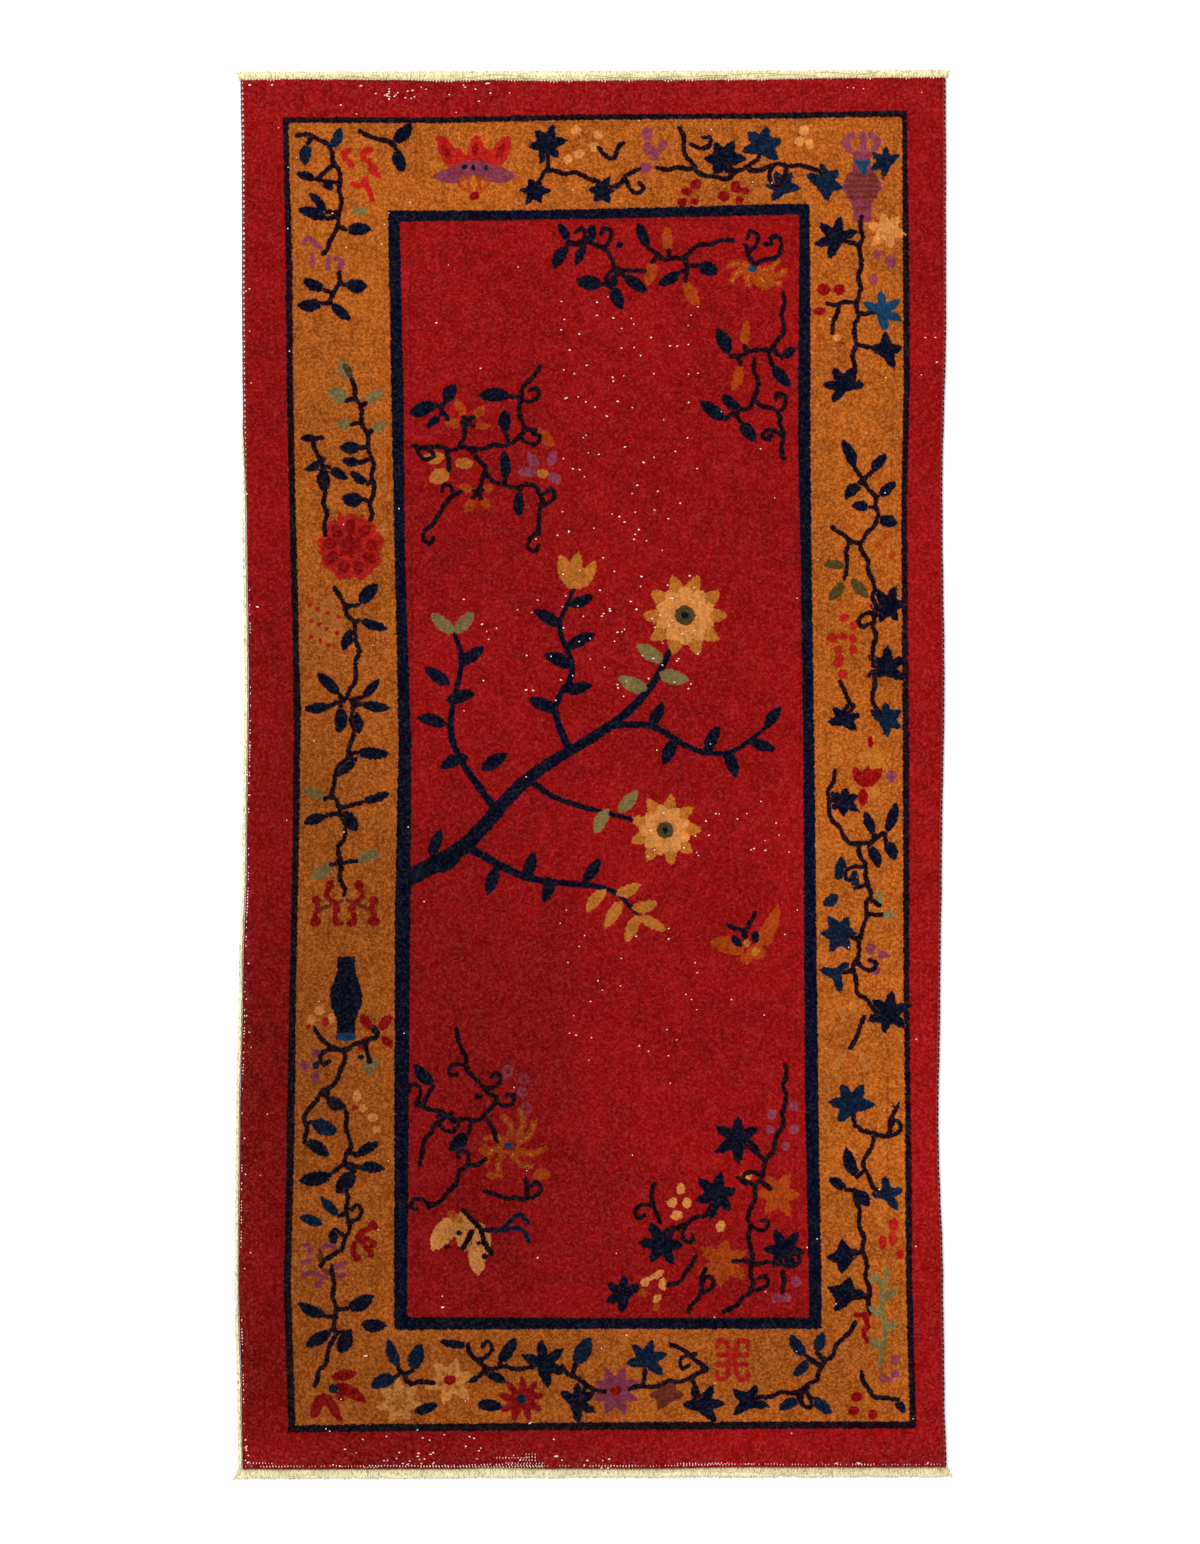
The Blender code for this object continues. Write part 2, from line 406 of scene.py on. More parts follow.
    def spots(self, wool, *rows):
        """Round or oval patches, each with its place, its size across and its height."""
        turn = np.linspace(0.0, 2.0 * np.pi, 13)[:-1]
        for x, y, across, high in rows:
            self.shape(wool, np.column_stack((x + 0.5 * across * np.cos(turn),
                                              y + 0.5 * high * np.sin(turn))))

    def vessel(self, wool, x, y, height, neck, belly, fullness):
        """A round vessel that swells from its neck to its belly, with a flared lip and foot."""
        t = np.linspace(-1.0, 1.0, 15)
        half = 0.5 * (neck + (belly - neck) * np.exp(-(t / fullness) ** 2) + 0.3 * neck * t ** 4)
        rise = 0.5 * height * t
        self.shape(wool, np.column_stack((np.concatenate((x - half, x + half[::-1])),
                                          y + np.concatenate((rise, rise[::-1])))))

    def curls(self, wool, width, *rows):
        """Small open rings, each with its place and radius."""
        turn = np.radians(np.arange(30, 340, 50))
        for x, y, radius in rows:
            self.stems(wool, width, np.column_stack((x + radius * np.cos(turn), y + radius * np.sin(turn))))

    def daisy(self, wool, x, y, reach, petals, width):
        """A flower of narrow petals round a heart."""
        for turn in np.arange(petals) * 2.0 * np.pi / petals + 0.5 * np.pi:
            dx, dy = reach * math.cos(turn), reach * math.sin(turn)
            self.leaves(wool, (x + 0.15 * dx, y + 0.15 * dy, x + dx, y + dy, width))


# The edges of the plain stripes, in cm: the left line reads x by y, the top line y by x.
StripeEdge = namedtuple("StripeEdge", "left right top bottom")
STRIPE_EDGES = {
    "outer guard, outside": StripeEdge(
        left=((-84, -39.2), (-65.5, -39.8), (-54, -39.5), (-46, -39.4), (-26.6, -39.0), (-7, -38.6),
              (8.4, -38.5), (20, -38.7), (35.5, -39.1), (51, -39.4), (66.6, -39.5), (84, -39.9)),
        right=((-84, 42.1), (-65.5, 41.6), (-42, 41.4), (-30, 41.2), (0, 41.2), (35, 40.9),
               (51, 41.3), (66.6, 41.2), (84, 40.9)),
        top=((-40, 85.1), (-20, 85.1), (0, 85.5), (20, 85.6), (41, 86.0)),
        bottom=((-40, -85.2), (-30, -85.1), (0, -84.9), (30, -84.7), (42, -84.7))),
    "outer guard, inside": StripeEdge(
        left=((-84, -38.3), (-65.5, -38.9), (-54, -38.6), (-46, -38.4), (-26.6, -38.2), (-7, -37.8),
              (8.4, -37.6), (20, -37.9), (35.5, -38.3), (51, -38.6), (66.6, -38.7), (84, -39.2)),
        right=((-84, 41.3), (-65.5, 40.8), (-42, 40.7), (-30, 40.5), (0, 40.4), (35, 40.2),
               (51, 40.5), (66.6, 40.4), (84, 40.3)),
        top=((-40, 84.4), (-20, 84.4), (0, 84.8), (20, 84.9), (41, 85.2)),
        bottom=((-40, -84.3), (-30, -84.2), (0, -83.9), (30, -83.8), (42, -83.8))),
    "inner guard, outside": StripeEdge(
        left=((-72, -25.5), (-65.5, -25.5), (-19, -25.4), (4.5, -24.9), (28, -25.4), (51, -25.9),
              (59, -26.0), (72, -26.3)),
        right=((-72, 29.9), (-65, 29.8), (-40, 29.4), (4.5, 28.9), (32, 28.5), (43, 28.4),
               (59, 28.4), (73, 28.3)),
        top=((-26, 73.0), (-5, 73.1), (8, 73.4), (25, 73.9), (29, 73.9)),
        bottom=((-26, -71.9), (-22, -71.9), (0, -71.8), (29, -71.8))),
    "inner guard, inside": StripeEdge(
        left=((-72, -23.8), (-65.5, -23.8), (-19, -23.4), (4.5, -23.3), (28, -24.1), (51, -24.3),
              (59, -24.5), (72, -24.8)),
        right=((-72, 28.3), (-65, 28.2), (-40, 27.7), (4.5, 27.5), (32, 27.1), (43, 26.8),
               (59, 26.9), (73, 27.0)),
        top=((-26, 71.6), (-5, 71.9), (8, 72.1), (25, 72.5), (29, 72.5)),
        bottom=((-26, -70.3), (-22, -70.3), (0, -70.4), (29, -70.4))),
}


def depth_within(edge, x, y):
    """How far each place lies inside a stripe's edge, in cm."""
    left, right = (np.interp(y, *zip(*line)) for line in (edge.left, edge.right))
    top, bottom = (np.interp(x, *zip(*line)) for line in (edge.top, edge.bottom))
    return np.minimum.reduce((x - left, right - x, top - y, y - bottom))


def draw_stripes(chart):
    """The gold border with a navy guard on either side of it."""
    everywhere = np.arange(len(chart.x))
    depth = {name: depth_within(edge, chart.x, chart.y) for name, edge in STRIPE_EDGES.items()}
    chart.knot("gold", everywhere, np.minimum(depth["outer guard, inside"], -depth["inner guard, outside"]))
    for guard, wool in (("outer guard", "black"), ("inner guard", "navy")):
        chart.knot(wool, everywhere, np.minimum(depth[guard + ", outside"], -depth[guard + ", inside"]))


def draw_top_border(chart):
    """A lotus, a ribbed vase, flowers and a vine along the top."""
    chart.leaves("navy", (-35.6, 77.1, -38.2, 77.9, 1.2), (-35, 76.9, -33.4, 75.7, 1.2),
                 (-25.6, 81.9, -23.2, 84.3, 1.8), (-25.3, 81, -24.4, 77.9, 1.7))
    chart.leaves("blue", (-36.7, 81.7, -37.1, 78.9, 1.5), (-33.6, 81.1, -32.3, 83.9, 1.3))
    chart.stems("coral", 0.6,
            ((-31.3, 80.9), (-32.1, 80.3), (-31, 78.9)), ((-28.5, 81), (-29.5, 80.6), (-29.4, 79.6)),
            ((-28.8, 79.4), (-27.9, 78.5)), ((-28.6, 78.2), (-27.5, 77.6)),
            ((-30.9, 76.5), (-29.8, 76.3), (-29.2, 77.2)), ((-29.2, 76.6), (-28.3, 74.5)))
    lotus(chart, -15.2, 79.0)
    chart.stars("navy", (-5.7, 81.7, 2.6, 6, 0.54), (-7.3, 75.6, 2.0, 6, 0.6), (1.4, 75.7, 2.0, 6, 0.6),
                (17.2, 79.7, 2.8, 6, 0.6))
    chart.stars("blue", (22.2, 81.4, 3.0, 5, 0.56), (24.8, 76.1, 2.5, 5, 0.52), (30.2, 76.7, 2.8, 5, 0.55),
                (38.1, 79.3, 2.0, 5, 0.56))
    chart.spots("peach", (-1.9, 83.4, 1.2, 1.0), (0.9, 82.9, 1.2, 1), (0.5, 81.3, 1.3, 1.1),
                (-1.5, 80.4, 1.2, 1.0), (-3, 79.7, 1.1, 1.0), (27.6, 83.4, 1.2, 1.2), (27, 82, 1.1, 1.1),
                (28.3, 81.7, 0.9, 1.3))
    chart.spots("lavender", (7.3, 83, 1.3, 1.5), (7.3, 81.2, 1.0, 1.6), (9.3, 81.5, 1.1, 1.3),
                (8.2, 80.4, 1.1, 1.8), (7, 78.6, 1.5, 1.4))
    chart.spots("crimson", (13.6, 76.4, 1.4, 1.2), (12.4, 75.5, 1.4, 0.9), (11.8, 74.1, 1.2, 1.0),
                (13.4, 74.2, 1.1, 0.8), (17.2, 74.9, 1.4, 1.3), (18.7, 76.1, 1.2, 1.5),
                (19.9, 75.6, 1.2, 0.9), (19.2, 74.4, 1.2, 0.9))
    ribbed_vase(chart, 35.1, 76.2)
    chart.vine(((-38, 82.8), (-34.6, 82), (-32.6, 77.6), (-32.6, 72.8)), ((-30, 83.4), (-25.4, 81.4)),
               ((-6, 78.2), (-2, 77.8), (1, 76.8)), ((1, 81.2), (2.6, 79.8), (4.2, 81.8)),
               ((2.6, 76), (6.2, 78.4)), ((8.6, 78.6), (12.8, 78.4)),
               ((11.5, 83.8), (13, 79), (17, 77.2), (21.6, 79.6)), ((20.6, 78.2), (25.4, 79), (29.6, 78.2)))
    chart.tendrils((13, 81.6, 350), (23.4, 78.6, 270), (4.6, 77.2, 300))


def lotus(chart, x, y):
    """A red lotus on a purple calyx, with ribbed seeds below."""
    petals = ((-2.6, -4.7, 2.0), (-1.2, -2.2, 1.4), (0.1, 0.3, 2.0), (1.4, 2.2, 1.4), (2.6, 4.6, 2.0))
    for base, tip, width in petals:
        height = 2.1 if width < 2.0 else 3.8
        chart.leaves("coral", (x + base, y - 0.4, x + tip, y + height, width))
    chart.spots("coral", (x, y + 0.3, 6.2, 2.2))
    chart.leaves("crimson", (x - 3.2, y + 0.8, x - 4.1, y + 2.6, 0.6),
                 (x + 0.2, y + 1.1, x + 0.3, y + 2.8, 0.6), (x + 3.0, y + 0.8, x + 4.0, y + 2.7, 0.6))
    chart.leaves("purple", (x + 0.4, y - 0.5, x - 5.2, y - 1.7, 2.1),
                 (x - 0.4, y - 0.5, x + 5.4, y - 1.6, 2.1))
    chart.spots("purple", (x, y - 0.3, 4.6, 1.9))
    chart.spots("navy", (x - 1.2, y - 0.3, 0.6, 0.7), (x - 0.1, y - 0.4, 0.6, 0.7),
                (x + 1.6, y - 0.4, 0.6, 0.7))
    chart.spots("amber", (x - 1.4, y - 2.3, 1.4, 1.6), (x, y - 2.5, 1.4, 2.0), (x + 1.4, y - 2.3, 1.3, 1.6))
    chart.stems("rust", 0.3, *(((x + 0.4 * out, y - 1.5), (x + out, y - 2.4), (x + 0.5 * out, y - 3.4))
                               for out in (-1.9, -0.8, 0.8, 1.9)))
    chart.spots("crimson", (x + 0.1, y - 4.1, 1.2, 1.0))


def ribbed_vase(chart, x, y):
    """A ribbed purple vase with a flared neck and a few blooms in its mouth."""
    chart.stems("lavender", 0.7, *(((x + out, y + 4.8), (x + 1.3 * out, y + 5.8), (x + 0.7 * out, y + 6.6))
                                   for out in (-1.7, 0.1, 1.6)))
    chart.vessel("purple", x, y, height=9.0, neck=1.9, belly=5.0, fullness=0.36)
    for rib in (-1.4, -0.7, 0.0, 0.7, 1.4):
        chart.stems("plum", 0.26, ((x - 2.1 + 0.12 * rib * rib, y + rib),
                                   (x + 2.1 - 0.12 * rib * rib, y + rib)))
    chart.stems("plum", 0.26, ((x - 0.8, y - 2.9), (x + 0.8, y - 2.9)))
    chart.stars("teal", (x + 0.1, y + 2.7, 1.5, 3, 0.5))


def draw_left_border(chart):
    """Down the left side, from its vine leaves to its vase."""
    chart.leaves("navy", (-34.2, 72.9, -36.6, 75.4, 1.1), (-34.2, 72, -38, 73.2, 1.6),
                 (-31.7, 70.5, -28.4, 70.6, 1.7), (-34.6, 62.8, -37.3, 64.2, 1.5),
                 (-31.8, 63.4, -28.9, 63.3, 1.8), (-34.8, 61, -38.1, 60.8, 1.6),
                 (-33.7, 61, -31.1, 58.8, 1.4))
    chart.spots("olive", (-29.9, 73, 2.0, 1.0))
    chart.stems("lavender", 0.5,
            ((-37.2, 68.9), (-36.5, 69.5), (-35, 68.1)), ((-33.9, 67), (-34.1, 65.6)),
            ((-33.1, 66.9), (-32.3, 66.4), (-32.6, 65.2)), ((-36.2, 67.4), (-36, 66.1)))
    chart.leaves("olive", (-31, 51.1, -32.6, 53.8, 1.6), (-31.6, 48.4, -34, 49.8, 1.8),
                 (-29.2, 48.1, -27, 49.6, 1.4), (-31, 45.4, -33, 45.6, 1.2),
                 (-28.4, 44.5, -26.6, 45.5, 1.1))
    chart.leaves("sage", (-31, 51.2, -32, 53.2, 0.8))
    chart.leaves("navy", (-29.8, 42.3, -32.7, 42.4, 1.6), (-30, 40.3, -32.3, 40.8, 1.3),
                 (-29, 37.6, -31.2, 39.3, 1.2), (-29.4, 35.6, -32.4, 35.8, 1.8),
                 (-34.8, 43.6, -37.8, 43.6, 1.0), (-34.6, 40.8, -37.2, 39.3, 1.0),
                 (-34.7, 39.8, -34.3, 36.3, 1.7), (-33.8, 39.8, -31.5, 38.2, 1.3))
    peony(chart, -31.1, 29.4, 4.4)
    faded_flower(chart, -34.4, 19.4)
    chart.leaves("navy", (-30, 22, -27.6, 24.7, 1.8), (-30, 20, -26.3, 18.8, 1.3),
                 (-30.5, 18.9, -32.2, 16.1, 1.5), (-29.7, 10, -27.4, 12.4, 1.2),
                 (-29.8, 9.1, -26, 8.6, 1.4), (-30.8, 8.2, -30.1, 5.2, 1.7),
                 (-32.6, 10.4, -35.5, 13.2, 1.5), (-33.8, 8.9, -37.2, 8.5, 1.4),
                 (-32.4, 8.8, -32.6, 5.3, 1.7), (-30.3, 2.8, -26, 2.6, 1.6), (-30.5, 1.9, -33, -0.3, 1.4),
                 (-29.6, -3.6, -26, -2.3, 1.2), (-34.4, -5.4, -37.3, -6.4, 1.4),
                 (-32.4, -4.8, -30.3, -7.4, 1.9))
    chart.leaves("olive", (-34.5, -3.2, -37.3, -1.9, 1.2), (-30.4, -11.2, -27.3, -10.2, 1.4),
                 (-33.6, -11.6, -36.3, -13.5, 1.5))
    scroll_bloom(chart, -31.9, -17)
    chart.vessel("navy", -31.7, -28.8, height=10.4, neck=1.8, belly=4.2, fullness=0.5)
    chart.leaves("teal", (-30.3, -34, -33.3, -34, 1.1))
    chart.vine(((-32.8, 72.8), (-33.2, 70), (-34.8, 67.4)), ((-32.6, 65), (-33, 63), (-34, 61)),
               ((-31, 51.2), (-29.6, 46), (-28.2, 39), (-28.6, 33)),
               ((-36, 43.6), (-34.6, 38), (-34.4, 31)), ((-33.2, 24.2), (-30.4, 18), (-31, 11), (-34, 8.8)),
               ((-31, 9.6), (-31, 4), (-33.4, -1), (-32.4, -5.4)),
               ((-31.8, -7), (-32.6, -10.4), (-32, -15.6)))
    draw_lower_left_vine(chart)


def peony(chart, x, y, reach):
    """A round red flower of pointed petals, in two reds."""
    chart.stars("coral", (x, y, reach, 9, 0.74))
    for number in range(9):
        turn = math.radians(10 + 40 * number)
        for wool, start, stop, width in (("coral", 0.5, 1.0, 2.2), ("crimson", 0.42, 0.84, 1.3)):
            chart.leaves(wool,
                         (*towards(x, y, start * reach, turn), *towards(x, y, stop * reach, turn), width))
    chart.stars("crimson", (x, y + 0.2, 0.40 * reach, 6, 0.5))


def faded_flower(chart, x, y):
    """A flower faded into the ground, with its dots left."""
    chart.stars("faded", (x, y, 3.6, 6, 0.7))
    for number in range(11):
        chart.spots("coral", (x - 2.0 + 1.2 * (number % 4) + 0.2 * math.sin(5.0 * number),
                              y + 2.6 - 0.52 * number, 0.5, 0.5))


def beside(x, y, side, *points):
    """Points measured from a middle, on one side of it or mirrored onto the other."""
    return [(x + side * across, y + up) for across, up in points]


def scroll_bloom(chart, x, y):
    """Red scrolls on fine brown lines, round an open square."""
    ends = ((1.9, 2.7, 1.1, 1.2), (3.7, 0.7, 1.1, 1.0), (3.8, -2, 1.4, 1.2), (1.1, -2.1, 1.0, 0.9),
            (0.9, -0.4, 0.8, 0.8))
    for side in (-1.0, 1.0):
        chart.stems("plum", 0.34, beside(x, y, side, (0.3, 0.7), (1.6, 0.2), (3.2, -0.5)))
        chart.stems("crimson", 0.5, beside(x, y, side, (1.9, 2.4), (2.4, 1.4), (1.5, 0.5), (1.0, 0.3)),
                    beside(x, y, side, (3.6, 0.6), (3.5, -0.5), (3.9, -1.3), (3.6, -2)),
                    beside(x, y, side, (1.1, 0.3), (1.2, -2.2), (0.5, -2.3)))
        for across, up, width, height in ends:
            chart.spots("crimson", (x + side * across, y + up, width, height))


def draw_lower_left_vine(chart):
    """The rest of the left side, below its vase."""
    chart.leaves("navy", (-33.6, -52, -38, -52.6, 1.8), (-37, -47.4, -33.9, -49.5, 1.6),
                 (-30.4, -49.4, -27.4, -47.6, 1.4), (-30, -50.9, -26.7, -51.1, 1.5),
                 (-30.6, -51.4, -33, -54.3, 2.0), (-33.2, -58.9, -33.4, -60.9, 1.3),
                 (-34.2, -70.2, -38, -68.4, 1.5), (-31.5, -69.2, -28.1, -67.4, 1.9),
                 (-29.9, -71.2, -26.4, -71.3, 1.7), (-31.1, -72.2, -32.7, -75, 2.0),
                 (-33.7, -72, -37, -74.1, 1.6), (-27.6, -33.4, -28.6, -32.8, 1.0))
    chart.leaves("blue", (-34.5, -41.6, -31.8, -43.4, 1.4), (-36.2, -45, -32.8, -46.4, 2.0),
                 (-32.7, -57.2, -35, -54.7, 1.2), (-34.8, -58.3, -37.8, -57.3, 1.4))
    chart.spots("blue", (-35.6, -37.7, 0.9, 1), (-29.8, -36.6, 0.9, 0.6), (-30.2, -59.9, 0.9, 0.7))
    chart.spots("peach", (-35.2, -30.6, 1.3, 1), (-33.6, -31.6, 0.8, 1.3), (-36.2, -31.8, 0.9, 1.2),
                (-30.3, -41.6, 1.0, 1.3), (-28.3, -44.4, 1.2, 1), (-27.7, -46, 0.9, 0.8),
                (-29.5, -43.2, 0.8, 0.9))
    chart.spots("coral", (-34.4, -32.1, 0.8, 1.1), (-36.5, -32.7, 0.5, 0.5), (-30.6, -43.2, 0.8, 0.6))
    chart.spots("lavender", (-35.6, -36.1, 1.1, 1.0), (-37.1, -37.7, 1.2, 1.1), (-35.7, -39.2, 1.2, 1.1))
    chart.stems("lavender", 0.5, ((-37.1, -60.9), (-36.2, -61.2), (-36.5, -62)),
                ((-34.6, -61.2), (-33.6, -60.9), (-33, -61.6)), ((-37.4, -63.2), (-36.4, -63)),
                ((-37.3, -64.8), (-36, -64.6), (-34.4, -65.2)), ((-33.6, -64), (-32.2, -63.4)),
                ((-33, -64.9), (-32, -64.8)), ((-35.6, -66.1), (-35, -65.8)))
    chart.stems("plum", 0.42, ((-35.1, -61.6), (-35, -63)), ((-34.6, -64.2), (-33.8, -64.6)))
    chart.stars("olive", (-28.5, -37.7, 1.3, 5, 0.7))
    chart.leaves("crimson", (-29.8, -31.1, -28.3, -33.1, 1.1), (-27.5, -33.1, -25.8, -31.2, 1.2),
                 (-28.6, -33.9, -30.1, -35.6, 1.0), (-27.1, -33.9, -25.7, -35.3, 0.9),
                 (-33.6, -78, -30.3, -77.5, 1.2), (-33.2, -79, -29.1, -81.3, 1.4),
                 (-33, -80.1, -31.9, -81.1, 0.8), (-34.2, -80.3, -32.3, -83.8, 1.2),
                 (-34.6, -80.2, -36.1, -83.5, 1.4))
    chart.stems("crimson", 0.55, ((-30.3, -59.8), (-29, -58.9), (-27.8, -58.6)),
                ((-29.6, -59.9), (-28.2, -60.6)), ((-29.8, -60.2), (-29.2, -61.2), (-28.5, -62)),
                ((-30.6, -60.6), (-30.8, -61.9), (-30.3, -62.8)))
    chart.spots("crimson", (-28.2, -58.3, 1.2, 0.9), (-28.2, -60.8, 0.9, 0.9), (-30.3, -62.6, 1.0, 0.8),
                (-28.5, -62.2, 0.9, 0.7))
    chart.spots("blue", (-33.4, -79.6, 1.2, 1.2))
    chart.vine(((-35.8, -32.8), (-33, -35.6), (-27.8, -34)),
               ((-32, -35.6), (-32.6, -39), (-36.6, -43.4), (-37, -47.8)),
               ((-32, -43), (-31.4, -49), (-34, -52)), ((-31.8, -53.8), (-31.6, -60), (-35, -63.6)),
               ((-33.6, -63.6), (-33.2, -72), (-35.8, -79.2)))
    chart.tendrils((-33, -35.6, 200), (-34, -41, 280), (-31.6, -58, 30))


def draw_bottom_border(chart):
    """Flowers, scrolls and a vine along the bottom."""
    chart.leaves("blue", (-24.9, -76.8, -26.3, -73.1, 1.5), (-23.1, -77.2, -22, -73.7, 2.0),
                 (-25.4, -78.1, -28.5, -79.4, 1.9))
    chart.leaves("navy", (-22.9, -82.6, -19.8, -81.5, 1.4), (-15.9, -73.9, -19.7, -73.3, 1.1),
                 (-11.9, -76.3, -9.7, -72.9, 1.6), (-13.6, -77.6, -10.9, -78.8, 1.3),
                 (-14.4, -77.9, -16.4, -78.7, 0.9), (-14.8, -81.6, -11.4, -82, 1.6),
                 (39.4, -80.8, 40.6, -82.8, 1.1), (10.9, -74.2, 10.0, -73.6, 0.8))
    chart.leaves("blue", (-2, -76.4, -0.1, -72.9, 2.1), (27.8, -75.3, 25.8, -72.6, 1.6),
                 (29.2, -74.9, 30.1, -72.2, 1.4), (28.2, -75.8, 26.2, -77.9, 1.3),
                 (27, -81, 24.3, -82.2, 1.4), (28.5, -80.8, 31.2, -82.9, 1.5))
    chart.stars("peach", (-18.2, -78.5, 3.1, 6, 0.5))
    chart.stars("amber", (-18.2, -78.5, 1.9, 6, 0.4))
    chart.stars("peach", (-24.8, -81.2, 2.9, 7, 0.5))
    chart.stars("amber", (-24.8, -81.2, 1.7, 7, 0.4))
    chart.spots("crimson", (-18.3, -78.4, 1.5, 1.1))
    chart.stars("navy", (-6.1, -76.4, 3.0, 5, 0.48), (-1.8, -81.3, 2.7, 5, 0.5))
    chart.daisy("crimson", -9, -80.9, 3.0, 9, 0.8)
    chart.spots("blue", (-9, -80.9, 1.4, 1.2))
    chart.stars("purple", (3.1, -79.8, 3.1, 8, 0.56))
    chart.spots("crimson", (3.2, -79.8, 1.3, 1.1))
    chart.stars("blue", (7.2, -75.8, 3.0, 5, 0.48))
    chart.stars("plum", (9.8, -80.4, 2.4, 5, 0.55))
    chart.stars("navy", (14.5, -81.6, 2.7, 5, 0.56), (20.4, -81.2, 2.6, 4, 0.48))
    scroll_cross(chart, 18.3, -75.8)
    chart.spots("crimson", (34.4, -80.6, 1.4, 1.2), (34, -82.4, 1.4, 1.1), (36.5, -82.9, 1.1, 1.2))
    chart.spots("lavender", (39.4, -75.8, 0.9, 1.2), (39.4, -77.6, 1.0, 0.9), (37.8, -78.1, 1.0, 1.0),
                (38.7, -78.4, 0.8, 0.6))
    chart.vine(((-25, -76.8), (-23.6, -78.6), (-20.4, -78.8)), ((-16, -73.8), (-14, -76.6), (-8, -76.8)),
               ((-3.8, -76.6), (-1.4, -78.6), (1.8, -80)),
               ((5, -79.6), (10, -78.8), (14.8, -77), (10.4, -73.8)),
               ((22, -80.6), (27.8, -79.4), (30.6, -75.8), (34.2, -71)),
               ((35, -77.4), (36.2, -80.2), (39.8, -81)))
    chart.tendrils((-14.4, -75.8, 40), (13.6, -75, 200), (28, -79.4, 250))


def scroll_cross(chart, x, y):
    """Four red scrolls in a cross, each with a short bar."""
    scroll, bar = ((0.3, 0.1), (0.5, 1.4), (1.0, 2.5), (1.9, 2.4), (2.0, 1.6)), ((0.5, 0.7), (1.9, 0.6))
    for side, rise in ((-1, -1), (-1, 1), (1, -1), (1, 1)):
        for line in (scroll, bar):
            chart.stems("coral", 0.5, [(x + side * across, y + rise * up) for across, up in line])


